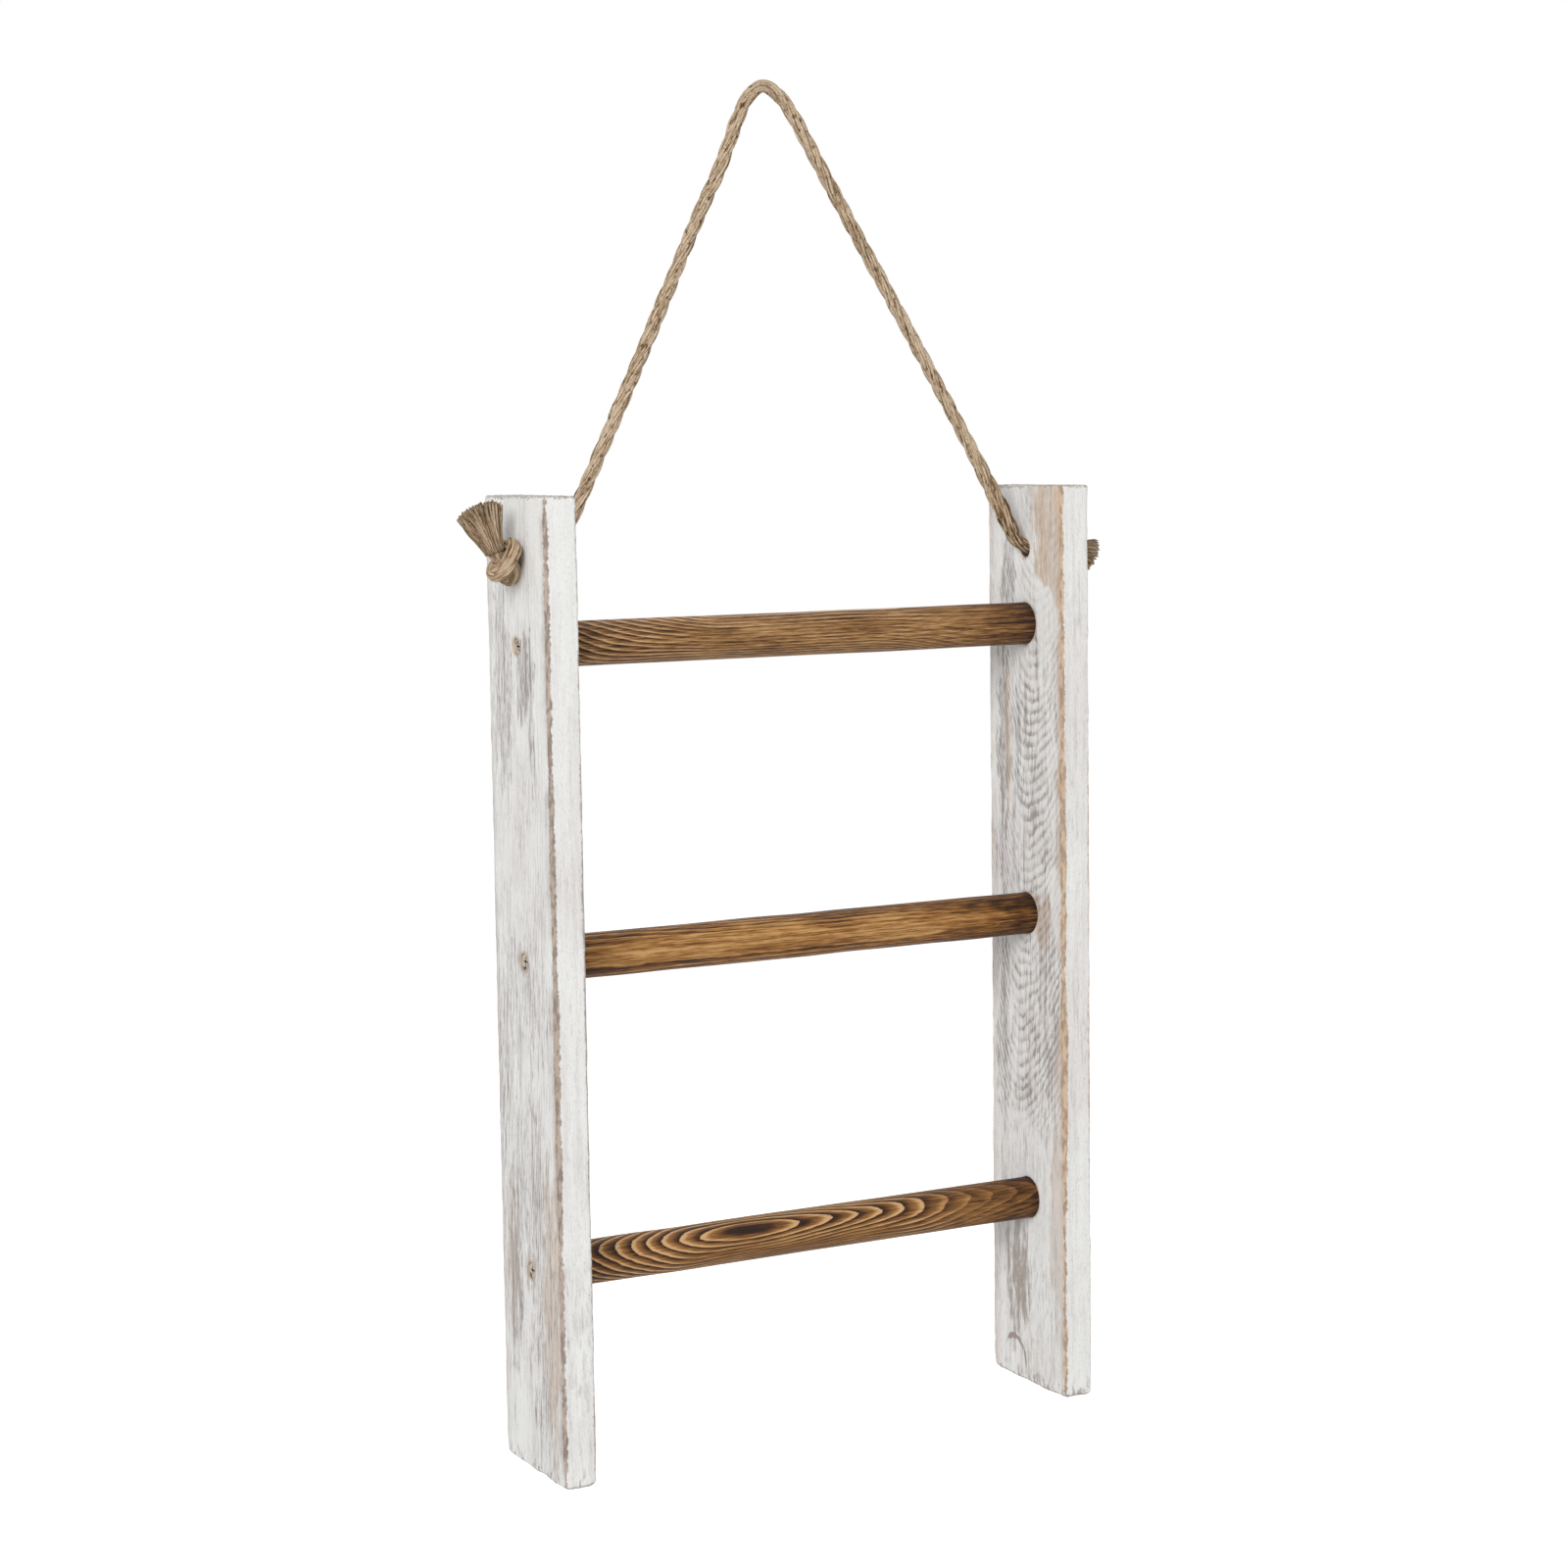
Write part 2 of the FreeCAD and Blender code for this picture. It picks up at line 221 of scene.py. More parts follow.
# Seeds of the random draws and of the noise in the shapes
DRAW_SEED = 7
STRAND_SEED = 40
YARN_SEED = 41
WIDTH_SEED = 42
POST_SEEDS = {"left_post": 100, "right_post": 110}
RUNG_SEEDS = {"top_rung": 200, "middle_rung": 210, "bottom_rung": 220}

# Camera, lamps and floor
CAMERA_PLACE = (-0.7595, -1.4151, -0.17765)
CAMERA_RIGHT = (0.87875, -0.47707, -0.01424)
CAMERA_UP = (0.06281, 0.08602, 0.99431)
CAMERA_LENS = 72.33
CAMERA_SENSOR = 36.0
FLOOR_DROP = 0.45
FLOOR_HALF_WIDTH = 6.0
FLOOR_GREY = 0.60
FLOOR_LIFT = 0.72
FLOOR_ROUGHNESS = 0.9
AMBIENT = 0.52
LAMPS = {
    "key": {"place": (-2.3, -2.0, 0.9), "width": 1.6, "watts": 64.0},
    "fill": {"place": (1.9, -1.9, 0.2), "width": 1.8, "watts": 10.0},
    "side": {"place": (2.2, 0.5, 0.3), "width": 1.8, "watts": 18.0},
    "back": {"place": (0.6, 2.0, 1.2), "width": 1.8, "watts": 8.0},
}


def unit(vectors):
    return vectors / np.linalg.norm(vectors, axis=-1, keepdims=True)


NOISE_PRIMES = np.array((73856093, 19349663, 83492791))
NOISE_TABLE_SIZE = 8191


def wobble(points, seed):
    """Smooth noise from -1 to 1 at each point, with a random value at each corner of the unit cells."""
    table = np.random.default_rng(seed).uniform(-1, 1, NOISE_TABLE_SIZE)
    cell = np.floor(points).astype(np.int64)
    part = points - cell
    part = part * part * (3 - 2 * part)
    total = np.zeros(len(points))
    for corner in np.ndindex(2, 2, 2):
        value = table[((cell + corner) * NOISE_PRIMES).sum(1) % NOISE_TABLE_SIZE]
        total += value * np.where(corner, part, 1 - part).prod(1)
    return total


def layered(points, layers, seed):
    """The sum of some layers of noise, each with the next seed."""
    return sum(share * wobble(points * cells, seed + i) for i, (share, cells) in enumerate(layers))


def math_method(operation):
    """A method of Field that adds one Math node."""
    return lambda field, *others: field.graph.math(operation, field, *others)


class Field:
    """A value in a material. Sums, products and the like of fields add Math nodes."""

    __add__ = __radd__ = math_method("ADD")
    __sub__ = math_method("SUBTRACT")
    __mul__ = __rmul__ = math_method("MULTIPLY")
    __truediv__ = math_method("DIVIDE")
    at_most = math_method("MINIMUM")
    at_least = math_method("MAXIMUM")
    size = math_method("ABSOLUTE")
    root = math_method("SQRT")
    fraction = math_method("FRACT")

    def __init__(self, graph, socket):
        self.graph = graph
        self.socket = socket

    def __rsub__(self, other):
        return self.graph.math("SUBTRACT", other, self)

    def __neg__(self):
        return self * -1.0

    def squared(self):
        return self.graph.math("POWER", self, 2.0)

    def bow(self, count, length):
        """A hyperbola through 0: level there, then rising by count for each length."""
        return (((self / length).squared() + 1.0).root() - 1.0) * count

    def rise(self, start, end):
        """0 below start and 1 above end, with a smooth step between, or falling where end is lower."""
        node = self.graph.add("ShaderNodeMapRange")
        node.interpolation_type = "SMOOTHSTEP"
        low, high = min(start, end), max(start, end)
        self.graph.feed(node, {"Value": self, "From Min": low, "From Max": high})
        if end < start:
            self.graph.feed(node, {"To Min": 1.0, "To Max": 0.0})
        return Field(self.graph, node.outputs["Result"])


# The standard deviation of one octave of the Noise texture
NOISE_SPREAD = 0.133
# The Mix node's sockets for colours, whose names it also gives to other kinds
MIX_SHARE = 0
MIX_FIRST = 6
MIX_SECOND = 7
MIX_RESULT = 2
# The rays by which the camera sees a thing directly, reflected or through glass
SEEING_RAYS = ("Is Camera Ray", "Is Glossy Ray", "Is Transmission Ray")


class Graph:
    """The nodes of a new material, or of a new world, with its one shader."""

    def __init__(self, name, world=False):
        self.owner = (bpy.data.worlds if world else bpy.data.materials).new(name)
        self.owner.use_nodes = True
        self.tree = self.owner.node_tree
        self.shader = self.tree.nodes["Background" if world else "Principled BSDF"]

    def add(self, kind):
        return self.tree.nodes.new(kind)

    def feed(self, node, values):
        for name, value in values.items():
            if isinstance(value, Field):
                self.tree.links.new(value.socket, node.inputs[name])
            else:
                node.inputs[name].default_value = value

    def math(self, operation, *values):
        node = self.add("ShaderNodeMath")
        node.operation = operation
        self.feed(node, dict(enumerate(values)))
        return Field(self, node.outputs[0])

    def parts(self, socket):
        node = self.add("ShaderNodeSeparateXYZ")
        self.tree.links.new(socket, node.inputs[0])
        return [Field(self, out) for out in node.outputs]

    def position(self):
        """The piece's own coordinates in millimetres, which are the row frame's at rest."""
        return [part * MILLIMETRES for part in self.parts(self.add("ShaderNodeTexCoord").outputs["Object"])]

    def normal(self):
        return self.parts(self.add("ShaderNodeTexCoord").outputs["Normal"])

    def attribute(self, name):
        node = self.add("ShaderNodeAttribute")
        node.attribute_name = name
        return self.parts(node.outputs["Vector"])

    def seen(self):
        """1 for what the camera sees, and 0 for light on the object."""
        rays = self.add("ShaderNodeLightPath").outputs
        camera, glossy, through = [Field(self, rays[name]) for name in SEEING_RAYS]
        return camera.at_least(glossy).at_least(through)

    def noise(self, x, y, z, detail=3, roughness=0.55):
        """Noise about 0 at x, y, z, with a standard deviation of about 1."""
        weights = roughness ** np.arange(detail + 1)
        spread = float(NOISE_SPREAD * np.linalg.norm(weights) / weights.sum())
        place = self.add("ShaderNodeCombineXYZ")
        self.feed(place, {"X": x, "Y": y, "Z": z})
        node = self.add("ShaderNodeTexNoise")
        self.tree.links.new(place.outputs[0], node.inputs["Vector"])
        self.feed(node, {"Scale": 1.0, "Detail": detail, "Roughness": roughness})
        return (Field(self, node.outputs[0]) - 0.5) / spread

    def noises(self, table, x, y, z):
        """The noises of a table."""
        return [self.noise(x * a, y * b, z * c, *kind) for a, b, c, *kind in table.values()]

    def ramp(self, field, stops):
        """A colour for each value, from (value, colour) stops."""
        node = self.add("ShaderNodeValToRGB")
        self.feed(node, {"Fac": field})
        elements = node.color_ramp.elements
        while len(elements) < len(stops):
            elements.new(0.5)
        for element, (value, colour) in zip(elements, stops):
            element.position = value
            element.color = (*colour, 1.0)
        return Field(self, node.outputs["Color"])

    def mix(self, share, first, second):
        """The first colour, or the second where share is 1."""
        node = self.add("ShaderNodeMix")
        node.data_type = "RGBA"
        colours = [value if isinstance(value, Field) else (*value, 1.0) for value in (first, second)]
        self.feed(node, {MIX_SHARE: share, MIX_FIRST: colours[0], MIX_SECOND: colours[1]})
        return Field(self, node.outputs[MIX_RESULT])

    def finish(self, colour, roughness, height, depth, specular=0.3):
        """Sets the shader, with height as bumps of the given depth in metres."""
        bump = self.add("ShaderNodeBump")
        self.feed(bump, {"Strength": 1.0, "Distance": depth, "Height": height})
        normal = Field(self, bump.outputs["Normal"])
        self.feed(self.shader, {"Base Color": colour, "Roughness": roughness, "Normal": normal})
        self.feed(self.shader, {"Specular IOR Level": specular})
        return self.owner


# Noises in the materials: cells per millimetre along each axis, detail and roughness
WASH_NOISES = {
    "streak": (0.40, 0.40, 0.016, 5, 0.65),
    "dash": (0.80, 0.80, 0.080, 4, 0.62),
    "mottle": (0.45, 0.45, 0.16, 4, 0.60),
    "speck": (1.7, 1.7, 0.70, 3, 0.55),
    "cloud": (0.030, 0.030, 0.011, 3, 0.55),
    "ragged": (0.26, 0.26, 0.055, 4, 0.65),
}
RING_NOISES = {
    "drift": (0.030, 0.030, 0.014, 2, 0.55),
    "jitter": (0.30, 0.30, 0.10, 3, 0.55),
    "faint": (0.09, 0.09, 0.045, 3, 0.55),
}
ARRIS_NOISES = {"patchy": (0.02, 0.02, 0.030, 4, 0.70), "chips": (0.45, 0.45, 0.45, 3, 0.55)}
STAIN_NOISES = {
    "drift": (0.014, 0.06, 0.06, 2, 0.55),
    "fine": (0.05, 0.5, 0.5, 3, 0.55),
    "streak": (0.022, 0.95, 0.95, 5, 0.70),
    "dash": (0.10, 1.5, 1.5, 3, 0.60),
    "cloud": (0.016, 0.09, 0.09, 3, 0.55),
    "burnt": (0.07, 0.16, 0.16, 4, 0.55),
}
STEEL_NOISES = {"stain": (0.9, 0.9, 0.9, 4, 0.55), "smear": (0.26, 0.42, 0.26, 3, 0.55)}

# How the materials shine, and the depth of their bumps in metres
WASH_ROUGHNESS = 0.80
WASH_RELIEF = 0.0004
STAIN_ROUGHNESS = 0.58
STAIN_SPECULAR = 0.22
STAIN_RELIEF = 0.0003
JUTE_ROUGHNESS = 0.92
JUTE_SPECULAR = 0.15
JUTE_RELIEF = 0.00025
STEEL_ROUGHNESS = 0.46
STEEL_METALLIC = 0.85
STEEL_RELIEF = 0.0001

# Colours, as linear red, green and blue
PAINT = (0.86, 0.86, 0.84)
PAINT_WARM = (0.81, 0.79, 0.772)
GREY_WOOD = (0.310, 0.268, 0.255)
DIRTY_WOOD = (0.330, 0.270, 0.235)
RAW_EARLY = (0.62, 0.450, 0.310)
RAW_LATE = (0.42, 0.285, 0.190)
ARRIS_COLOURS = {
    "left_post": ((0.245, 0.188, 0.153), (0.450, 0.360, 0.302)),
    "right_post": ((0.380, 0.260, 0.175), (0.630, 0.455, 0.318)),
}
END_GRAIN = (0.33, 0.285, 0.25)
# The colour of the painted shade on the rope hole's wall
HOLE_SHADE_COLOUR = (0.10, 0.065, 0.04)

# The growth rings in each post, in millimetres: the middle of their arches at the post's top, how far it
# leans for each millimetre down, the rings' pitch along the post, hyperbolas (rings, length) that count them
# across the post behind and before that middle, how strong they show, the share of that on the outer face
# and how far below the top they end
POST_RINGS = {
    "left_post": {
        "middle": 62.0, "lean": 0.10, "pitch": 60.0, "back": (35.0, 80.0), "front": (35.0, 80.0),
        "strength": 0.40, "outside": 1.0, "end": 600.0,
    },
    "right_post": {
        "middle": -13.0, "lean": 0.066, "pitch": 6.5, "back": (17.7, 30.0), "front": (9.5, 30.0),
        "strength": 1.0, "outside": 0.45, "end": 350.0,
    },
}
RINGS_FADE = 30.0

# Places in the wash, in millimetres: across the post from its middle, below its top, both half sizes and
# strength. Thin ones show grey grain, rubbed ones raw wood and dirty ones brown stains.
THIN_PATCHES = {
    "left_post": (
        (18, 93, 11, 54, 0.75), (-8, 86, 9, 20, 1.20),
        (-15, 100, 3, 40, 0.80), (27, 283, 14, 70, 0.50),
        (20, 380, 9, 50, 0.80), (2, 247, 32, 34, 0.45),
        (-2, 335, 22, 45, 0.55), (-18, 400, 18, 78, 0.65),
    ),
    "right_post": (
        (-9, 155, 24, 62, 0.58), (-12, 290, 26, 66, 0.52),
        (22, 287, 6, 55, 0.75), (21, 140, 5, 68, 1.00),
        (15, 46, 6, 24, 0.80), (-36, 40, 7, 45, 0.40),
        (-36, 440, 8, 60, 0.30), (20, 400, 8, 40, 0.45),
        (-10, 420, 20, 40, 0.40),
    ),
}
RUBBED_PATCHES = {
    "left_post": ((-24, 393, 10, 70, 0.50), (-33, 320, 3, 60, 0.60), (22, 375, 9, 40, 0.25)),
    "right_post": (
        (-23, 10, 14, 75, 0.85), (-33, 60, 3, 110, 0.95),
        (-15, 228, 9, 15, 0.75), (17, 128, 3.0, 42, 0.60),
        (-29, 393, 7, 55, 0.50),
    ),
}
# Where the wash was laid on again, thick and with a clear edge
KEPT_PATCHES = {
    "left_post": ((0, 200, 10, 20, 0.3),),
    "right_post": ((0, 72, 32, 25, 1.0),),
}
DIRTY_PATCHES = {
    "left_post": ((20, 378, 6, 18, 0.40), (4, 376, 7, 9, 0.40), (2, 225, 5, 8, 0.35)),
    "right_post": ((10, 424, 11.5, 30, 0.85), (9, 394, 4, 12, 0.70)),
}
# A small knot in the wood near the right post's foot, whose upper rim is dark
WOOD_KNOTS = {"right_post": (14, 471, 11, 14, 0.95)}
# Its rim, as shares of its half sizes: where the line fades on both sides, below and at the back
RIM_LINE = (0.14, 0.05)
RIM_BELOW = (0.2, -0.15)
RIM_BACK = (0.8, 0.55)

# How worn the wash is outside the patches, how strong the grain shows there and its most anywhere
WASH_WEAR = 0.33
GRAIN_STRENGTH = 0.85
MOST_SHOWING = 0.92


def share_out(across, down, place):
    """How far a point is from a patch's middle, as a share of the patch's half sizes."""
    middle, below, half_width, half_height, _ = place
    return (((across - middle) / half_width).squared() + ((down - below) / half_height).squared()).root()


def patches(across, down, places, ragged, outer=1.25, inner=0.65):
    """How much the listed patches cover a place, in full within the inner share of their sizes."""
    total = None
    for place in places:
        patch = (share_out(across, down, place) + ragged).rise(outer, inner) * place[-1]
        total = patch if total is None else total.at_least(patch)
    return total


def knot_rim(across, down, place, ragged):
    """A thin dark arch, the upper part of a wood knot's outline."""
    middle, below, half_width, half_height, strength = place
    arch = ((share_out(across, down, place) - 1.0).size() + ragged).rise(*RIM_LINE)
    upper = down.rise(*[below + half_height * share for share in RIM_BELOW])
    forward = across.rise(*[middle + half_width * share for share in RIM_BACK])
    return arch * upper * forward * strength


def near(y, z, centre, inner, outer, ragged):
    """1 within inner of an axis along X, and 0 past outer."""
    gap = ((y - centre[0]).squared() + (z - centre[1]).squared()).root()
    return (gap + ragged).rise(outer, inner)


def whitewashed_pine(name):
    """Brushed pine under a white wash, grey where the wash is thin and raw where it is rubbed through."""
    low, high = [corner * MILLIMETRES for corner in POSTS[name]]
    middle = (low + high) / 2
    side = math.copysign(1.0, middle[0])
    graph = Graph(f"whitewashed_pine_{name}")
    x, y, z = graph.position()
    _, normal_y, normal_z = graph.normal()
    across = y - float(middle[1])
    down = float(high[2]) - z

    streak, dash, mottle, speck, cloud, ragged = graph.noises(WASH_NOISES, x, y, z)

    front = normal_y.size().rise(0.6, 0.9)
    late = growth_rings(graph, POST_RINGS[name], x - float(middle[0]), across, down)
    late = late * (1.0 - front * 0.9)
    outside = (x * side).rise(INNER_FACE + 2.0, OUTER_FACE - 2.0)
    late = late * (1.0 - outside * (1.0 - POST_RINGS[name]["outside"]))
    thin = patches(across, down, THIN_PATCHES[name], cloud * 0.12 + ragged * 0.22)
    wear = ((WASH_WEAR + cloud * 0.12).at_least(0.08) + thin * 0.80) * (1.0 - front * 0.50)
    marks = late * (0.70 + mottle * 0.12).at_least(0.1) + streak.rise(0.1, 2.0) * 0.65
    marks = marks + dash.rise(0.1, 1.9) * 0.65 + mottle.rise(0.2, 2.0) * 0.40
    showing = marks * wear * GRAIN_STRENGTH + speck.rise(0.4, 2.4) * 0.20 + thin.rise(0.25, 1.0) * 0.20
    showing = showing.at_most(MOST_SHOWING)

    kept = patches(across, down, KEPT_PATCHES[name], ragged * 0.04, outer=1.08, inner=0.96)
    rubbed = patches(across, down, RUBBED_PATCHES[name], ragged * 0.16) * (1.0 - front) * (1.0 - kept)
    rubbed = rubbed * (1.0 - dash.rise(0.0, 1.6) * 0.45) * (1.0 - streak.rise(0.1, 1.1) * 0.55)
    rubbed = rubbed.at_least(hole_wear(x * side, y, z, ragged) * 0.8)
    dirty = patches(across, down, DIRTY_PATCHES[name], ragged * 0.22) * (1.0 - front)
    dirty = dirty * (1.0 - mottle.rise(0.0, 1.8) * 0.5)
    scuffed = (z - float(low[2])).rise(12.0, 1.0) * mottle.rise(0.2, 1.4) * 0.75
    dirty = dirty.at_least(scuffed)
    if name in WOOD_KNOTS:
        knot = knot_rim(across, down, WOOD_KNOTS[name], ragged * 0.04)
        dirty = dirty.at_least(knot * (1.0 - front))
    edge, rim = arris_wear(graph, low, high, x, y, z, dash, front)
    sawn = end_rings(graph, (x - float(middle[0])) * side, across) * 0.40 + dash * 0.07 + 0.40
    ends = (normal_z.size().rise(0.55, 0.85) * sawn).at_least(rim)

    paint = graph.mix(cloud.rise(-1.5, 1.8), PAINT, PAINT_WARM)
    raw = graph.mix((late * 0.15 + streak.rise(-0.8, 2.0) * 0.8).at_most(1.0), RAW_EARLY, RAW_LATE)
    raw = graph.mix(mottle.rise(-0.6, 1.6) * across.rise(-32.0, -24.0) * 0.45, raw, GREY_WOOD)
    colour = graph.mix(showing, paint, GREY_WOOD)
    colour = graph.mix(rubbed, colour, raw)
    colour = graph.mix(dirty, colour, DIRTY_WOOD)
    colour = graph.mix(edge, colour, graph.mix(mottle.rise(-1.2, 1.0), *ARRIS_COLOURS[name]))
    colour = graph.mix(ends, colour, END_GRAIN)
    # Painted shade down the rope hole's wall
    colour = graph.mix(hole_wall_shade(x * side, y, z), colour, HOLE_SHADE_COLOUR)

    roughness = WASH_ROUGHNESS - rubbed * 0.12 + streak * 0.01
    height = dash * 0.06 + speck * 0.04 - showing * 0.60 - edge * 0.2
    return graph.finish(colour, roughness, height, WASH_RELIEF)


def growth_rings(graph, rings, x, across, down):
    """1 on the late wood of each growth ring, less where the rings are faint."""
    drift, jitter, faint = graph.noises(RING_NOISES, x, across, down)
    aside = across - rings["middle"] - down * rings["lean"]
    arch = aside.at_least(0.0).bow(*rings["back"]) + (-aside).at_least(0.0).bow(*rings["front"])
    ring = ((down + x) / rings["pitch"] + arch + drift * 0.25 + jitter * 0.06).fraction()
    above_end = down.rise(rings["end"], rings["end"] - RINGS_FADE)
    shown = (0.85 + faint * 0.3).at_least(0.0) * rings["strength"] * above_end
    return ring.rise(0.30, 0.75) * ring.rise(1.0, 0.85) * shown


# The growth rings across a post's sawn ends, in millimetres: how far outside the post's middle and behind it
# their heart lies, and their pitch
END_HEART = (42.0, 6.0)
END_PITCH = 3.3


def end_rings(graph, outward, across):
    """1 on the late wood of the arcs across a sawn end."""
    gap = ((outward - END_HEART[0]).squared() + (across - END_HEART[1]).squared()).root()
    drift = graph.noise(outward * 0.08, across * 0.08, 2.0, detail=2)
    ring = (gap / END_PITCH + drift * 0.22).fraction()
    return ring.rise(0.35, 0.90) * ring.rise(1.0, 0.92)


# The arrises of a post, in millimetres: the sides that meet there, the width of raw wood, its strength and
# that of the rubbing beside it
ARRISES = (
    ("left", "front", 1.50, 0.95, 0.40),
    ("right", "front", 0.70, 0.70, 0.15),
    ("left", "back", 0.80, 0.75, 0.30),
    ("right", "back", 0.80, 0.75, 0.30),
)
RUBBING_REACH = 6.5
ARRIS_FADE = 0.35


def arris_wear(graph, low, high, x, y, z, dash, front):
    """Raw wood along the worn arrises, and the same for the ends' rims."""
    low, high = [[float(value) for value in corner] for corner in (low, high)]
    gaps = {"left": x - low[0], "right": high[0] - x, "front": y - low[1], "back": high[1] - y}
    patchy, chips = graph.noises(ARRIS_NOISES, x, y, z)
    halfway = (z - (low[2] + high[2]) / 2).size().rise(190.0, 70.0)
    uneven = patchy * 0.25 + dash * 0.10 + chips * 0.22 - halfway * 0.45
    wear = None
    for first, second, reach, strength, rubbing in ARRISES:
        gap = gaps[first].at_least(gaps[second])
        line = (gap + uneven).rise(reach + ARRIS_FADE, reach - ARRIS_FADE) * strength
        beside = (gap + patchy * 1.6 + dash * 0.5).rise(RUBBING_REACH, 0.0)
        line = line.at_least(beside * (1.0 - front * 0.85) * rubbing)
        wear = line if wear is None else wear.at_least(line)
    sides = gaps["left"].at_most(gaps["right"]).at_most(gaps["front"].at_most(gaps["back"]))
    ragged = patchy * 0.35 + chips * 0.35
    top = ((high[2] - z).at_least(sides) + ragged).rise(1.5, 0.7)
    foot = ((z - low[2]).at_least(sides) + ragged).rise(2.5, 1.1)
    return wear, top.at_least(foot) * (0.62 + dash * 0.25)


# Raw wood round the holes, in millimetres from their axes: all raw within the first, none past the second
ROPE_HOLE_WEAR = (4.8, 6.8)
SCREW_HOLE_WEAR = (4.4, 6.2)
SOCKET_WEAR = (11.2, 12.8)
# Painted shade on the rope hole's wall, in the same way from its axis, and then from the post's faces
HOLE_WALL = (4.5, 5.0)
HOLE_SHADE = (0.4, 1.6)


def hole_wear(x, y, z, ragged):
    """Raw wood round the rope hole, the screw recesses and the rungs. x is measured outwards."""
    axis_y, axis_z = (HOLE_AXIS[1:] * MILLIMETRES).tolist()
    outside = x.rise(INNER_FACE + 10.0, INNER_FACE + 12.0)
    spread = ragged * 0.35
    total = near(y, z, (axis_y, axis_z), *ROPE_HOLE_WEAR, spread) * 0.7
    for height in RUNG_HEIGHTS:
        centre = (axis_y, float(height * MILLIMETRES))
        screw = near(y, z, centre, *SCREW_HOLE_WEAR, spread) * outside
        socket = near(y, z, centre, *SOCKET_WEAR, spread) * (1.0 - outside) * 0.6
        total = total.at_least(screw.at_least(socket))
    return total


def hole_wall_shade(x, y, z):
    """1 where shade is painted on the rope hole's wall, below the faces. x is measured outwards."""
    depth = (OUTER_FACE - x).at_most(x - INNER_FACE)
    hole = near(y, z, (HOLE_AXIS[1:] * MILLIMETRES).tolist(), *HOLE_WALL, 0.0)
    return hole * depth.rise(*HOLE_SHADE) * 0.8


RUNG_COLOURS = (
    (0.00, (0.020, 0.007, 0.003)),
    (0.20, (0.082, 0.032, 0.009)),
    (0.42, (0.205, 0.095, 0.030)),
    (0.62, (0.345, 0.174, 0.060)),
    (0.82, (0.490, 0.275, 0.115)),
    (1.00, (0.660, 0.420, 0.220)),
)
# Each rung's figure, in millimetres: the way its flat grain faces in degrees from the front upwards, the
# place of its eye, the eye's tone as a share of a ring, hyperbolas (rings, length) that count the rings
# round the rung and to the left and right of the eye, the lengths over which rings open out there, contrast,
# streaks and tone. The band is a golden stripe without rings, partly the wood's own figure and partly a
# painted highlight: its turn from the figure in degrees, half its width, its place along the rung, half its
# length and its strength. The stain scales the colours.
RUNG_FIGURES = {
    "top_rung": {
        "facing": 88, "eye": -42.0, "start": 0.3, "round": (5.2, 8.0),
        "left": (2.0, 17.0), "right": (0.5, 60.0), "open": (80.0, 150.0),
        "contrast": 1.35, "streaks": 0.105, "tone": 0.51, "band_and_highlight": (-74, 14.0, 25.0, 110.0, 0.12),
        "stain": (1.0, 1.0, 1.0),
    },
    "middle_rung": {
        "facing": -12, "eye": 15.0, "start": 0.55, "round": (3.9, 7.0),
        "left": (0.3, 80.0), "right": (0.9, 60.0), "open": (150.0, 150.0),
        "contrast": 1.00, "streaks": 0.115, "tone": 0.42, "band_and_highlight": (23, 9.5, 0.0, 160.0, 0.42),
        "stain": (1.0, 0.89, 0.66),
    },
    "bottom_rung": {
        "facing": 38, "eye": -37.0, "start": 0.08, "round": (5.97, 7.8),
        "left": (7.33, 50.0), "right": (2.68, 35.0), "open": (45.0, 110.0),
        "contrast": 1.70, "streaks": 0.060, "tone": 0.425, "band_and_highlight": (-58, 9.5, -15.0, 90.0, 0.06),
        "stain": (1.0, 0.95, 0.85),
    },
}


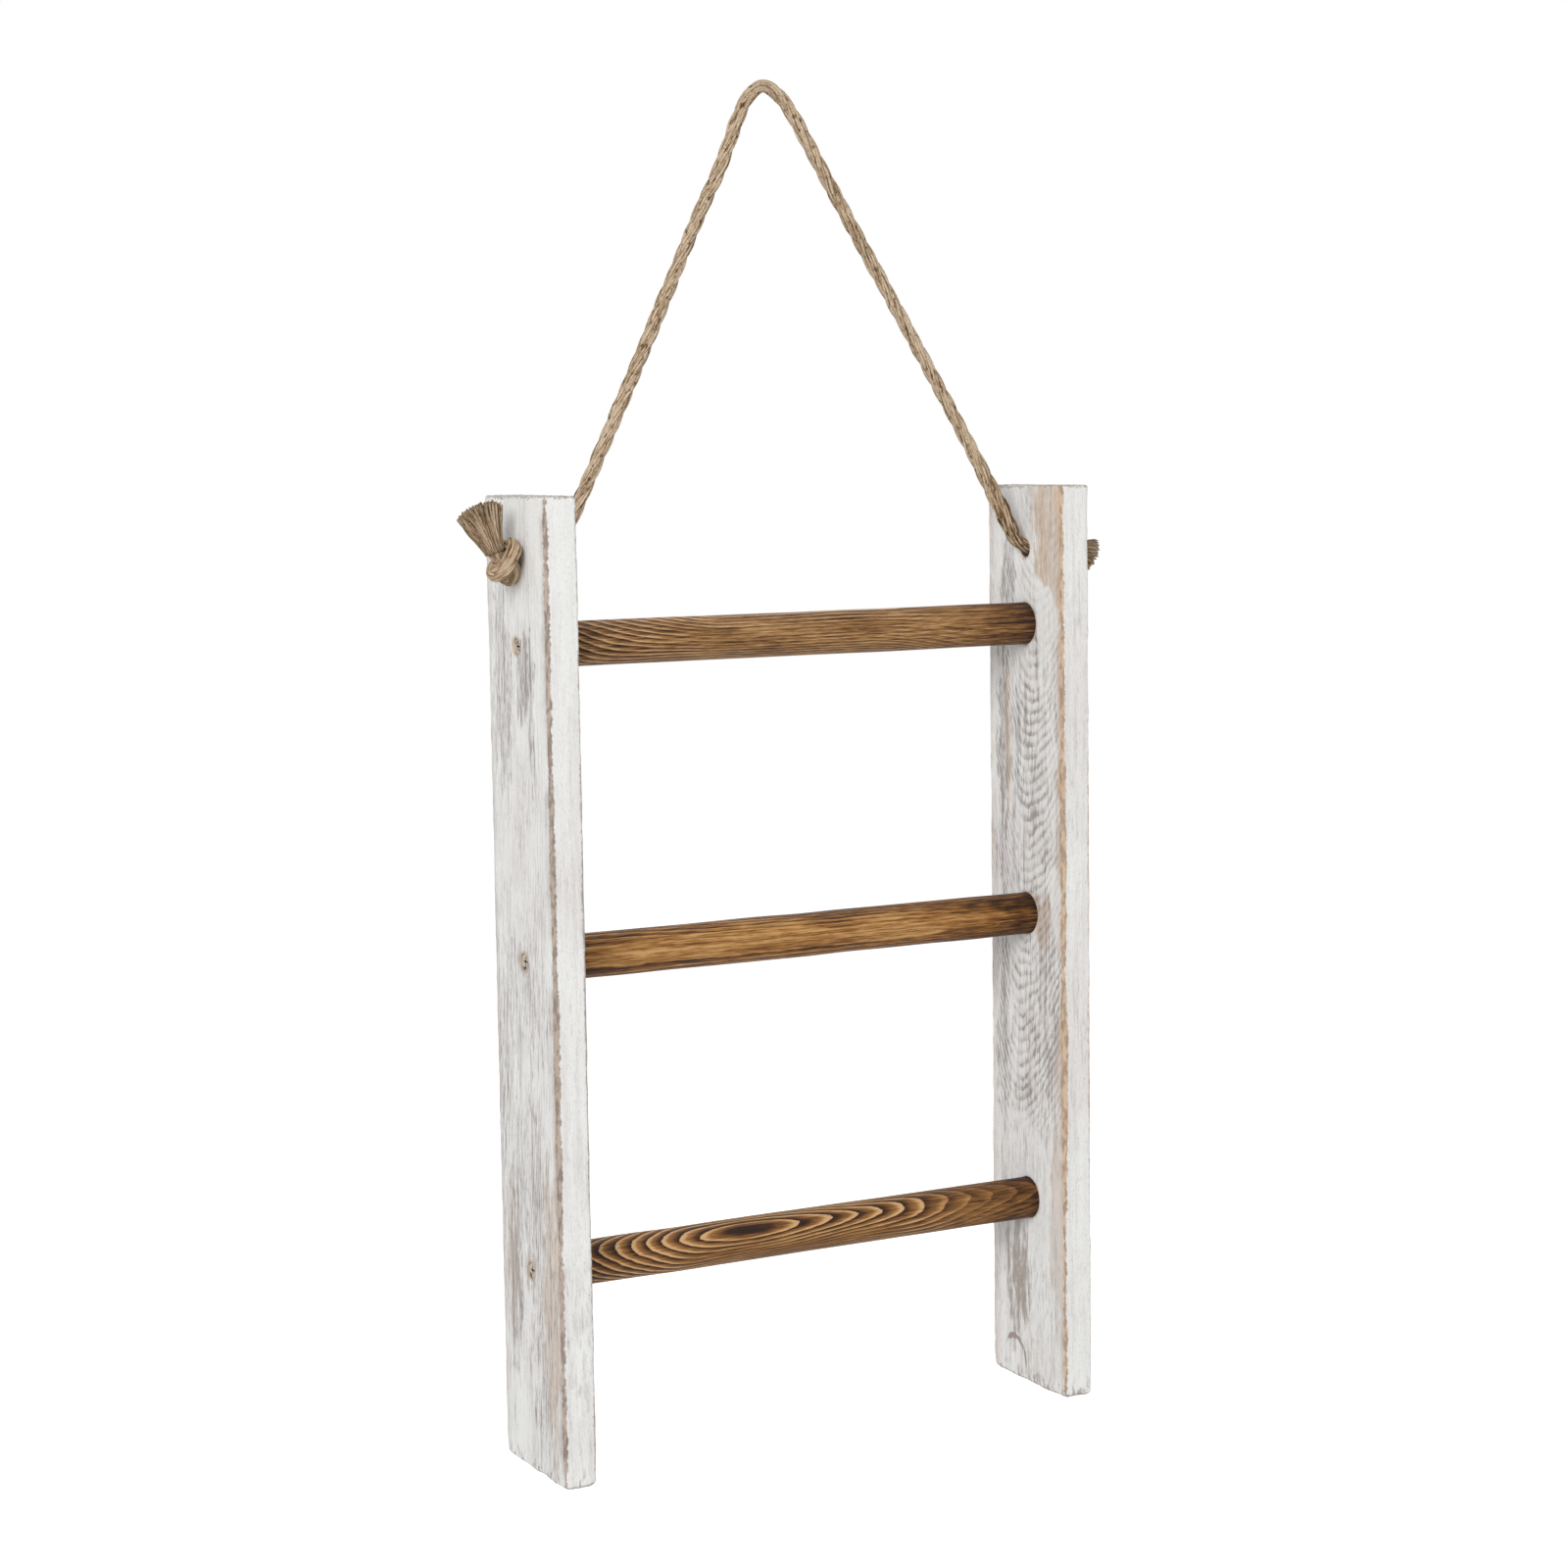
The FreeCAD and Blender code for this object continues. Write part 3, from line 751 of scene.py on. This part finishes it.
def stained_pine(name):
    """Scorched and stained dowel: rings cut along, each growing lighter outwards to a bright line."""
    low, high = [corner * MILLIMETRES for corner in RUNGS[name]]
    middle = (low + high) / 2
    radius = RUNG_RADIUS * MILLIMETRES
    figure = RUNG_FIGURES[name]
    facing = math.radians(figure["facing"])
    graph = Graph(f"stained_pine_{name}")
    x, y, z = graph.position()
    forward = float(middle[1]) - y
    upward = z - float(middle[2])
    depth = forward * math.cos(facing) + upward * math.sin(facing)
    aside = upward * math.cos(facing) - forward * math.sin(facing)
    turn = graph.math("ARCTAN2", aside, depth)

    along = x - figure["eye"]
    before = (-along).at_least(0.0)
    after = along.at_least(0.0)
    open_left, open_right = figure["open"]
    opening = 1.0 - before.rise(0.0, open_left) * 0.5 - after.rise(open_right / 2, open_right) * 0.5
    rings = (turn * radius).bow(*figure["round"]) * opening
    rings = rings + before.bow(*figure["left"]) + after.bow(*figure["right"]) + figure["start"]
    drift, fine, streak, dash, cloud, burnt = graph.noises(STAIN_NOISES, x, y, z)
    ring = (rings + drift * 0.10 + fine * 0.025).fraction()
    bright = ring.rise(0.52, 0.90) * ring.rise(1.0, 0.96)
    dark = (ring.rise(0.55, 0.0) + ring.rise(0.96, 1.0)).at_most(1.0)

    # A golden band without rings that also mutes the rings, partly the wood's own figure and partly a
    # painted highlight
    glow_turn, glow_width, glow_place, glow_length, glow_strength = figure["band_and_highlight"]
    band_and_highlight = ((turn - math.radians(glow_turn)).size() * radius + drift * 1.2).rise(glow_width, 0.0)
    band_and_highlight = band_and_highlight * ((x - glow_place).size() + cloud * 12.0).rise(glow_length, glow_length * 0.5)
    fibres = (streak + dash) * figure["streaks"]
    shown = (1.0 - band_and_highlight * 0.65) * (1.0 - x.rise(45.0, 100.0) * 0.75) * figure["contrast"]
    tone = (bright * 0.38 - dark * 0.28) * shown + band_and_highlight * glow_strength
    tone = tone + fibres + cloud * 0.06 + figure["tone"] - burn_and_post_shade(x, burnt)
    colours = [(value, np.multiply(colour, figure["stain"])) for value, colour in RUNG_COLOURS]
    roughness = STAIN_ROUGHNESS + streak * 0.02 - bright * 0.06
    height = bright * 0.5 + fibres * 2.0
    colour = graph.ramp(tone, colours)
    return graph.finish(colour, roughness, height, STAIN_RELIEF, STAIN_SPECULAR)


# The burnt stretches of a rung, in millimetres from the posts' inner faces: where each is gone, where it is
# full, how ragged its edge is and its share of the darkest tone. The near stretch next to each post is
# partly a burn and partly painted shade where the rung meets the post.
BURNS_AND_POST_SHADE = {
    # Partly a burn and partly painted shade where the rung meets the post
    "near": (6.0, 0.0, 1.2, 0.40),
    "right": (52.0, 6.0, 7.0, 0.70),
    "left": (28.0, 0.0, 4.0, 0.55),
}
BURN_AND_SHADE_TONE = 0.36


def burn_and_post_shade(x, ragged):
    """How dark a rung is burnt, with painted shade where it meets each post: most just inside each post, and
    further along at the right.
    """
    gaps = {"near": INNER_FACE - x.size(), "right": INNER_FACE - x, "left": INNER_FACE + x}
    total = 0.0
    for name, (gone, full, spread, share) in BURNS_AND_POST_SHADE.items():
        total = total + (gaps[name] + ragged * spread).rise(gone, full) * share
    return total * BURN_AND_SHADE_TONE


JUTE_COLOURS = (
    (0.00, (0.100, 0.060, 0.030)),
    (0.28, (0.265, 0.165, 0.086)),
    (0.52, (0.460, 0.315, 0.188)),
    (0.76, (0.620, 0.458, 0.302)),
    (1.00, (0.780, 0.620, 0.450)),
)
# The right frayed end's tone is raised as painted light, lifting it where the post shades it
JUTE_TONES = {"laid": 0.91, "left": 0.80, "right": 0.96}
# Where the rope grows darker towards its right hole, in millimetres along X
DARKER_ALONG_X = (107.0, 133.0)


def jute(name, base):
    """Dry bast fibre: each yarn a little different, streaked along its length, with painted shade in the
    grooves between yarns.
    """
    graph = Graph(name)
    along, around, strand = graph.attribute("fibre")
    along = along * MILLIMETRES
    streak = graph.noise(along * 0.18, around * 7.0, strand * 7.3, detail=4, roughness=0.7)
    yarn = graph.noise(along * 0.05, around * 1.3, strand * 3.1 + 11.0, detail=2)
    cloud = graph.noise(along * 0.03, strand * 1.7, 3.0, detail=2)
    # The grooves between yarns: painted shade in the colour, and sunk in the bump
    groove_and_shade = ((around + 0.5).fraction() - 0.5).size().rise(0.16, 0.02)
    fleck = graph.noise(along * 0.25, around * 1.1, strand * 5.9 + 4.0, detail=3).rise(0.5, 1.9)
    x = graph.position()[0]
    # Darker and with less contrast from the posts' inner faces out to the knots and frayed ends
    towards_knots = x.size().rise(INNER_FACE, OUTER_FACE)
    # Darker towards the right hole
    darker_to_right_hole = x.rise(*DARKER_ALONG_X) * x.rise(OUTER_FACE, INNER_FACE)
    tone = streak * 0.18 + yarn * 0.15 - groove_and_shade * 0.25 - fleck * 0.45
    tone = tone * (1.5 - towards_knots * 0.5) + cloud * 0.05 + base - towards_knots * 0.15 - darker_to_right_hole * 0.48
    height = streak * 0.25 + yarn * 0.1 - groove_and_shade * 0.8
    colour = graph.ramp(tone, JUTE_COLOURS)
    return graph.finish(colour, JUTE_ROUGHNESS, height, JUTE_RELIEF, JUTE_SPECULAR)


SCREW_COLOURS = ((0.0, (0.020, 0.016, 0.013)), (0.5, (0.085, 0.075, 0.066)), (1.0, (0.17, 0.15, 0.13)))
SCREW_WASH = (0.62, 0.55, 0.47)


def screw_steel():
    """Dull steel whose head was brushed over with the wash, dark down in its recess."""
    graph = Graph("screw_steel")
    x, y, z = graph.position()
    stain, smear = graph.noises(STEEL_NOISES, x, y, z)
    top = (OUTER_FACE - x.size()).rise(1.15, 0.90)
    washed = top * smear.rise(-1.6, -0.3) * 0.9
    steel = graph.ramp(stain * 0.2 + 0.5, SCREW_COLOURS)
    colour = graph.mix(washed, steel, SCREW_WASH)
    graph.feed(graph.shader, {"Metallic": (1.0 - washed) * STEEL_METALLIC})
    roughness = STEEL_ROUGHNESS + stain * 0.04 + washed * 0.3
    return graph.finish(colour, roughness, stain * 0.3 + washed * 0.6, STEEL_RELIEF)


def link(name, data):
    piece = bpy.data.objects.new(name, data)
    bpy.context.scene.collection.objects.link(piece)
    return piece


def add_object(name, points, faces):
    mesh = bpy.data.meshes.new(name)
    mesh.from_pydata(points.tolist(), [], faces)
    return link(name, mesh)


def dress(piece, material, body, sharp=True):
    """Smooths a piece, with its sharp edges kept, and ties it to a body and a material slot."""
    mesh = piece.data
    mesh.materials.clear()
    mesh.materials.append(material)
    mesh.polygons.foreach_set("use_smooth", np.ones(len(mesh.polygons), bool))
    if sharp:
        mesh.set_sharp_from_angle(angle=SHARP_ANGLE)
    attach(piece, body)


def tube_faces(steps, sides, first=0):
    """The quads and two end caps of a tube whose rings follow each other in the list of points."""
    ring = np.arange(sides)
    lower = first + np.arange(steps - 1)[:, None] * sides + ring
    after = first + np.arange(steps - 1)[:, None] * sides + (ring + 1) % sides
    quads = np.stack([lower, after, after + sides, lower + sides], -1).reshape(-1, 4).tolist()
    last = first + (steps - 1) * sides
    return quads + [(first + ring[::-1]).tolist(), (last + ring).tolist()]


def add_tubes(name, tubes):
    """Closed tubes, each an array of rings, as one object."""
    faces = []
    first = 0
    for rings in tubes:
        faces += tube_faces(rings.shape[0], rings.shape[1], first)
        first += rings.shape[0] * rings.shape[1]
    return add_object(name, np.concatenate([rings.reshape(-1, 3) for rings in tubes]), faces)


def add_fibre_tubes(name, tubes, marks, material):
    """Jute tubes that ride on the rope, each point marked with its place along and around its yarn."""
    piece = add_tubes(name, tubes)
    attribute = piece.data.attributes.new("fibre", "FLOAT_VECTOR", "POINT")
    flat = np.concatenate([mark.reshape(-1, 3) for mark in marks])
    attribute.data.foreach_set("vector", flat.astype(np.float32).ravel())
    dress(piece, material, "rope", sharp=False)
    return piece


def fibre_marks(along, around, number):
    return np.stack(np.broadcast_arrays(along[:, None], around, float(number)), -1)


def turned(profile, foot, way, sides):
    """Rings about an axis along X from foot, one for each (distance along, radius) pair."""
    turn = np.arange(sides) * (math.tau / sides) * way
    along, radius = np.array(profile).T[:, :, None]
    rings = np.empty((len(profile), sides, 3))
    rings[:, :, 0] = foot[0] + way * along
    rings[:, :, 1] = foot[1] + radius * np.cos(turn)
    rings[:, :, 2] = foot[2] + radius * np.sin(turn)
    return rings


def graded(start, end, step):
    """Places from start to end, close together near both ends."""
    edge = np.arange(0, SKIN_BAND, SKIN_FINE)
    middle = np.linspace(start + SKIN_BAND, end - SKIN_BAND, round((end - start) / step))
    return np.concatenate([start + edge, middle, end - edge[::-1]])


def box_skin(xs, ys, zs):
    """The points and quads of a box's skin on the grid of these places."""
    counts = (len(xs), len(ys), len(zs))
    outer = np.zeros(counts, bool)
    for axis in range(3):
        np.moveaxis(outer, axis, 0)[[0, -1]] = True
    index = np.full(counts, -1)
    index[outer] = np.arange(outer.sum())
    grid = np.stack(np.meshgrid(xs, ys, zs, indexing="ij"), -1)
    quads = []
    for axis in range(3):
        sheets = np.moveaxis(index, axis, 0)
        for sheet, as_is in ((sheets[0], axis == 1), (sheets[-1], axis != 1)):
            corners = [sheet[:-1, :-1], sheet[1:, :-1], sheet[1:, 1:], sheet[:-1, 1:]]
            quads.append(np.stack(corners if as_is else corners[::-1], -1).reshape(-1, 4))
    return grid[outer], np.concatenate(quads)


def worn(points, low, high, seed):
    """Rounds a box's arrises by an uneven radius, more at its foot, and raises its grain."""
    above_foot = points[:, 2] - low[2]
    foot_wear = FOOT_WEAR * np.exp(-above_foot / FOOT_WEAR_REACH)
    foot_wear *= 1 + layered(points, FOOT_NOISE, seed + len(ARRIS_NOISE))
    radius = (ARRIS_RADIUS * (1 + layered(points, ARRIS_NOISE, seed)) + foot_wear)[:, None]
    inner = np.clip(points, low + radius, high - radius)
    normal = unit(points - inner)
    swell = FACE_SWELL * wobble(points * SWELL_CELLS, seed + 3)
    grain = GRAIN_RELIEF * wobble(points * GRAIN_CELLS, seed + 4)
    return inner + normal * (radius + (swell + grain)[:, None])


def cut(piece, tools):
    """Cuts other objects out of a piece and removes them."""
    for tool in tools:
        modifier = piece.modifiers.new("cut", "BOOLEAN")
        modifier.operation = "DIFFERENCE"
        modifier.solver = "EXACT"
        modifier.object = tool
    bpy.context.view_layer.update()
    evaluated = piece.evaluated_get(bpy.context.evaluated_depsgraph_get())
    mesh = bpy.data.meshes.new_from_object(evaluated)
    piece.modifiers.clear()
    piece.data = mesh
    for tool in tools:
        bpy.data.objects.remove(tool)


def make_post(name, seed):
    """A worn board with its rope hole, rung sockets and screw holes."""
    low, high = POSTS[name]
    side = math.copysign(1.0, low[0])
    steps = (SKIN_ACROSS, SKIN_ACROSS, SKIN_ALONG)
    points, quads = box_skin(*[graded(low[axis], high[axis], step) for axis, step in enumerate(steps)])
    piece = add_object(f"{name}_wood", worn(points, low, high, seed), quads.tolist())

    thickness = OUTER_X - INNER_X
    lip = ROPE_HOLE_RADIUS + ROPE_HOLE_LIP + CUT_OVERRUN
    rope_hole = (
        (-CUT_OVERRUN, lip),
        (ROPE_HOLE_LIP, ROPE_HOLE_RADIUS),
        (thickness - ROPE_HOLE_LIP, ROPE_HOLE_RADIUS),
        (thickness + CUT_OVERRUN, lip),
    )
    socket_radius = RUNG_RADIUS + SOCKET_CLEARANCE
    socket = ((-CUT_OVERRUN, socket_radius), (SOCKET_DEPTH, socket_radius))
    screw_hole = (
        (-CUT_OVERRUN, SCREW_RECESS_RADIUS),
        (SCREW_RECESS_DEPTH, SCREW_RECESS_RADIUS),
        (SCREW_NECK_DEPTH, SCREW_BORE_RADIUS),
        (thickness - SOCKET_DEPTH + CUT_OVERRUN, SCREW_BORE_RADIUS),
    )
    outer_foot = np.array((side * OUTER_X, HOLE_AXIS[1], HOLE_AXIS[2]))
    wide = [turned(rope_hole, outer_foot, -side, HOLE_SIDES)]
    narrow = []
    for height in RUNG_HEIGHTS:
        wide.append(turned(socket, (side * INNER_X, HOLE_AXIS[1], height), side, HOLE_SIDES))
        narrow.append(turned(screw_hole, (side * OUTER_X, HOLE_AXIS[1], height), -side, HOLE_SIDES))
    cut(piece, [add_tubes("wide_holes", wide), add_tubes("screw_holes", narrow)])
    dress(piece, whitewashed_pine(name), "ladder")
    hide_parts(name)


def make_rung(name, seed):
    """A dowel that isn't quite round or straight, with chamfered ends and the screws' pilot holes."""
    low, high = RUNGS[name]
    middle = (low + high) / 2
    reach = (high[0] - low[0]) / 2
    pilot = OUTER_X - SCREW_PILOT_DEPTH
    end = [(pilot, SCREW_BORE_RADIUS), (reach, SCREW_BORE_RADIUS), (reach, RUNG_RADIUS - RUNG_END_CHAMFER)]
    body = np.arange(RUNG_END_CHAMFER - reach, reach - RUNG_END_CHAMFER, RUNG_STEP)
    profile = [(-along, radius) for along, radius in end]
    profile += [(along, RUNG_RADIUS) for along in [*body, reach - RUNG_END_CHAMFER]]
    profile += end[::-1]
    foot = np.array((0.0, middle[1], middle[2]))
    rings = turned(profile, foot, 1.0, RUNG_SIDES)
    points = rings.reshape(-1, 3)
    outward = unit((points - foot) * (0, 1, 1))
    lumps = layered(points, RUNG_NOISE, seed)
    bow = wobble(points * RUNG_BOW_CELLS + 0.5, seed + 2)
    points = points + outward * (RUNG_UNEVENNESS * lumps)[:, None]
    points[:, 2] += RUNG_UNEVENNESS * bow
    piece = add_object(f"{name}_wood", points, tube_faces(*rings.shape[:2]))
    dress(piece, stained_pine(name), "ladder")
    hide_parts(name)


def knot_points(name):
    """The stopper knot's route, from the rope hole outwards."""
    points = []
    for radius_share, turn, height_share in KNOT_ROUTE_SHARES + KNOT_END_SHARES[name]:
        angle = math.radians(turn + KNOT_TURN[name])
        aside = radius_share * KNOT_PITCH
        x = SIDES[name] * (OUTER_X + height_share * KNOT_PITCH)
        y = HOLE_AXIS[1] - aside * math.cos(angle)
        z = HOLE_AXIS[2] + aside * math.sin(angle)
        points.append((x, y, z))
    return points


def smooth_line(points, step):
    """Evenly spaced points along the NURBS line that has these control points."""
    curve = bpy.data.curves.new("route", "CURVE")
    curve.dimensions = "3D"
    curve.resolution_u = SPLINE_RESOLUTION
    spline = curve.splines.new("NURBS")
    spline.points.add(len(points) - 1)
    for point, place in zip(spline.points, points):
        point.co = (*place, 1.0)
    spline.order_u = 3
    spline.use_endpoint_u = True
    holder = bpy.data.objects.new("route", curve)
    mesh = bpy.data.meshes.new_from_object(holder)
    line = np.array([vertex.co for vertex in mesh.vertices])
    bpy.data.objects.remove(holder)
    bpy.data.meshes.remove(mesh)
    along = lengths_along(line)
    even = np.linspace(0, along[-1], round(along[-1] / step) + 1)
    return np.stack([np.interp(even, along, line[:, axis]) for axis in range(3)], -1)


def lengths_along(line):
    return np.concatenate([[0], np.cumsum(np.linalg.norm(np.diff(line, axis=0), axis=1))])


# A direction that no rope, yarn or fibre starts along
ASLANT = (0.3, 0.2, 0.9)


def transported(line):
    """Two directions across a line at each point, turning no more than the line does."""
    tangents = unit(np.gradient(line, axis=0))
    across = np.empty_like(tangents)
    across[0] = unit(np.cross(tangents[0], ASLANT))
    for i in range(1, len(line)):
        across[i] = unit(across[i - 1] - tangents[i] * across[i - 1].dot(tangents[i]))
    return across, np.cross(tangents, across)


def lay_strands(line, widths):
    """The rings and fibre marks of a rope's strands, bundles of yarns twisted against the rope's lay."""
    across, up = transported(line)
    along = lengths_along(line)
    sides = YARNS * YARN_SIDES
    yarn = np.arange(sides) / YARN_SIDES
    groove = 1 - YARN_GROOVE * (1 - np.abs(np.sin(math.pi * yarn)))
    tubes, marks = [], []
    for strand in range(STRANDS):
        places = (along * STRAND_CELLS[0], along * 0 + strand * STRAND_CELLS[1], along * 0)
        uneven = wobble(np.stack(places, -1), STRAND_SEED)
        angle = math.tau * (along / LAY_LENGTH + strand / STRANDS) + LAY_WANDER * uneven
        outward = across * np.cos(angle)[:, None] + up * np.sin(angle)[:, None]
        radius = widths * STRAND_SHARE / 2 * (1 + STRAND_UNEVENNESS * uneven)
        centre = line + outward * (widths / 2 - radius)[:, None]
        tangents = unit(np.gradient(centre, axis=0))
        outward = unit(outward - tangents * (outward * tangents).sum(1, keepdims=True))
        sideways = np.cross(tangents, outward)
        turn = yarn * (math.tau / YARNS) - math.tau * along[:, None] / YARN_LAY_LENGTH
        places = (along[:, None] * YARN_CELLS[0], yarn * YARN_CELLS[1], strand * YARN_CELLS[2])
        places = np.stack(np.broadcast_arrays(*places), -1).reshape(-1, 3)
        rough = 1 + YARN_UNEVENNESS * wobble(places, YARN_SEED).reshape(turn.shape)
        reach = (radius[:, None] * groove * rough)[..., None]
        way = outward[:, None] * np.cos(turn)[..., None] + sideways[:, None] * np.sin(turn)[..., None]
        tubes.append(centre[:, None] + reach * way)
        marks.append(fibre_marks(along, yarn, strand))
    return tubes, marks


def make_rope(material):
    """One rope from the frayed end of the left knot to that of the right one."""
    line = smooth_line([*knot_points("left")[::-1], *ROPE_ROUTE, *knot_points("right")], ROPE_STEP)
    knotted = np.clip((np.abs(line[:, 0]) - INNER_X) / (OUTER_X - INNER_X), 0, 1)
    widths = ROPE_DIAMETER + (KNOT_ROPE_DIAMETER - ROPE_DIAMETER) * knotted
    places = np.stack([lengths_along(line) * ROPE_CELLS] * 3, -1)
    widths = widths * (ROPE_SWELL + ROPE_UNEVENNESS * wobble(places, WIDTH_SEED))
    widths = widths * (1 + BUNCHING * np.interp(line[:, 0], *BUNCHED_ALONG_X))
    tubes, marks = lay_strands(line, widths)
    piece = add_fibre_tubes("rope_strands", tubes, marks, material)
    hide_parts("hanging_rope", "left_knot", "right_knot")
    return piece, line, tubes


def bent_tube(line, radii, sides):
    """A plain tube along a line, as an array of rings."""
    across, up = transported(line)
    angle = np.arange(sides) * (math.tau / sides)
    ring = across[:, None] * np.cos(angle)[:, None] + up[:, None] * np.sin(angle)[:, None]
    return line[:, None] + ring * np.asarray(radii)[:, None, None]


def bezier(points, steps):
    share = np.linspace(0, 1, steps)[:, None]
    weights = ((1 - share) ** 3, 3 * share * (1 - share) ** 2, 3 * share**2 * (1 - share), share**3)
    return sum(weight * point for weight, point in zip(weights, points))


def directed(name, shares):
    return unit(np.array((SIDES[name] * shares[0], -shares[1], shares[2])))


def make_tail(name, end, way_out, material, draws):
    """The frayed end of the rope: a brush of untwisted yarns that flares to a flat fan."""
    way = directed(name, TAIL_WAY_SHARES[name])
    spread = directed(name, TAIL_SPREAD_SHARES[name])
    flat = unit(spread - way * spread.dot(way))
    thick = np.cross(way, flat)
    root_flat = unit(spread - way_out * spread.dot(way_out))
    root_thick = np.cross(way_out, root_flat)
    root_radius = TAIL_ROOT_SHARE * KNOT_ROPE_DIAMETER
    half_width = TAIL_WIDTHS[name] / 2 - TAIL_YARN_RADIUS
    length = TAIL_LENGTHS[name]
    first_reach, last_reach = [share * length for share in TAIL_BENDS]
    tip = end + unit(way_out + way) * (TAIL_WAIST_SHARE * length) + way * ((1 - TAIL_WAIST_SHARE) * length)
    share = np.linspace(0, 1, TAIL_STEPS)
    around = np.arange(TAIL_SIDES) * (TAIL_STREAKS / TAIL_SIDES)
    tubes, marks = [], []
    for yarn in range(TAIL_YARNS):
        out = math.sqrt((yarn + 0.5) / TAIL_YARNS)
        angle = yarn * GOLDEN_ANGLE + draws.uniform(-TAIL_TURN_STRAY, TAIL_TURN_STRAY)
        a, b = out * math.cos(angle), out * math.sin(angle)
        root = end - way_out * TAIL_ROOT_DEPTH + (root_flat * a + root_thick * b) * root_radius
        last = tip + flat * (a * half_width) + thick * (b * TAIL_THICKNESS / 2)
        last = last + way * (draws.uniform(*TAIL_END_STRAY) - TAIL_ROUNDING * length * a * a)
        lean = way + flat * (TAIL_FLAT_LEAN * a) + thick * (TAIL_THICK_LEAN * b)
        lean = unit(lean + draws.normal(0, TAIL_LEAN_STRAY, 3))
        bends = (root, root + way_out * first_reach, last - lean * last_reach, last)
        line = bezier(bends, TAIL_STEPS)
        sway = np.sin(share * math.pi * draws.uniform(*TAIL_HALF_WAVES)) * share
        line = line + sway[:, None] * draws.normal(0, TAIL_SWAY, 3)
        radii = TAIL_YARN_RADIUS * draws.uniform(*TAIL_YARN_SIZES) * np.interp(share, *TAIL_TAPER)
        tubes.append(bent_tube(line, radii, TAIL_SIDES))
        marks.append(fibre_marks(lengths_along(line), around, yarn))
    piece = add_fibre_tubes(f"{name}_tail_yarns", tubes, marks, material)
    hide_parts(f"{name}_tail")
    return piece, tubes


def make_fibres(name, tubes, count, material, draws):
    """Loose hairs that stand off the given tubes."""
    share = np.linspace(0, 1, FIBRE_STEPS)[:, None]
    radii = FIBRE_RADIUS * np.linspace(1, FIBRE_TIP_SHARE, FIBRE_STEPS)
    hairs, marks = [], []
    for hair in range(count):
        rings = tubes[draws.integers(len(tubes))]
        step = draws.integers(1, len(rings) - 1)
        side = draws.integers(rings.shape[1])
        root = rings[step, side]
        along = unit(rings[step + 1, side] - rings[step - 1, side]) * draws.choice((-1, 1))
        outward = unit(root - rings[step].mean(0))
        reach = FIBRE_LENGTH * draws.uniform(*FIBRE_SIZES)
        bend = draws.normal(0, FIBRE_STRAY, 3)
        way = along * share + outward * (FIBRE_LIFT * share - FIBRE_DROOP * share**2) + bend * share**2
        line = root - outward * FIBRE_ROOT_DEPTH + reach * way
        hairs.append(bent_tube(line, radii, FIBRE_SIDES))
        marks.append(fibre_marks(share[:, 0] * reach, np.full(FIBRE_SIDES, 0.5), hair))
    return add_fibre_tubes(name, hairs, marks, material)


def hang_rope():
    """The rope, its frayed ends and its loose fibres."""
    draws = np.random.default_rng(DRAW_SEED)
    laid = jute("jute_laid", JUTE_TONES["laid"])
    frayed = {
        "left": jute("jute_frayed", JUTE_TONES["left"]),
        # A lighter copy, as painted light on the right frayed end
        "right": jute("jute_frayed_right_painted_light", JUTE_TONES["right"]),
    }
    rope, line, strands = make_rope(laid)
    pieces = [make_fibres("rope_fibres", strands, ROPE_FIBRES, laid, draws)]
    ends = {"left": (line[0], line[0] - line[1]), "right": (line[-1], line[-1] - line[-2])}
    for name, (end, way_out) in ends.items():
        tail, yarns = make_tail(name, end, unit(way_out), frayed[name], draws)
        pieces += [tail, make_fibres(f"{name}_tail_fibres", yarns, TAIL_FIBRES, frayed[name], draws)]


def dress_screws():
    node = frame["nodes"]["rung_screws"]
    node.data.materials.clear()
    node.data.materials.append(screw_steel())


def make_floor():
    """A pale floor below the hung ladder, white to the camera and still holding the ladder's shadow."""
    width = FLOOR_HALF_WIDTH
    z = cad_low[2] - FLOOR_DROP
    corners = np.array([(-width, -width, z), (width, -width, z), (width, width, z), (-width, width, z)])
    floor = add_object("floor", corners, [(0, 1, 2, 3)])
    graph = Graph("floor")
    graph.feed(graph.shader, {
        "Base Color": (FLOOR_GREY, FLOOR_GREY, FLOOR_GREY, 1.0),
        "Roughness": FLOOR_ROUGHNESS,
        "Emission Color": (1.0, 1.0, 1.0, 1.0),
        "Emission Strength": graph.seen() * FLOOR_LIFT,
    })
    floor.data.materials.append(graph.owner)


def make_world():
    graph = Graph("studio", world=True)
    strength = graph.seen() * (1.0 - AMBIENT) + AMBIENT
    graph.feed(graph.shader, {"Color": (1.0, 1.0, 1.0, 1.0), "Strength": strength})
    bpy.context.scene.world = graph.owner


def make_lamps():
    """Large soft lamps aimed at the ladder's middle."""
    middle = (cad_low + cad_high) / 2
    for name, lamp in LAMPS.items():
        light = bpy.data.lights.new(name, "AREA")
        light.size = lamp["width"]
        light.energy = lamp["watts"]
        holder = link(name, light)
        holder.location = lamp["place"]
        holder.rotation_euler = (middle - holder.location).to_track_quat("-Z", "Y").to_euler()


def make_camera():
    camera = bpy.data.cameras.new("camera")
    camera.lens = CAMERA_LENS
    camera.sensor_width = CAMERA_SENSOR
    right = Vector(CAMERA_RIGHT)
    up = Vector(CAMERA_UP)
    turn = Matrix((right, up, right.cross(up))).transposed().to_4x4()
    holder = link("camera", camera)
    holder.matrix_world = Matrix.Translation(CAMERA_PLACE) @ turn
    bpy.context.scene.camera = holder


make_camera()
make_world()
make_lamps()
make_floor()
hang_rope()
for post in POSTS:
    make_post(post, POST_SEEDS[post])
for rung in RUNGS:
    make_rung(rung, RUNG_SEEDS[rung])
dress_screws()
bpy.context.scene.view_settings.view_transform = "Standard"
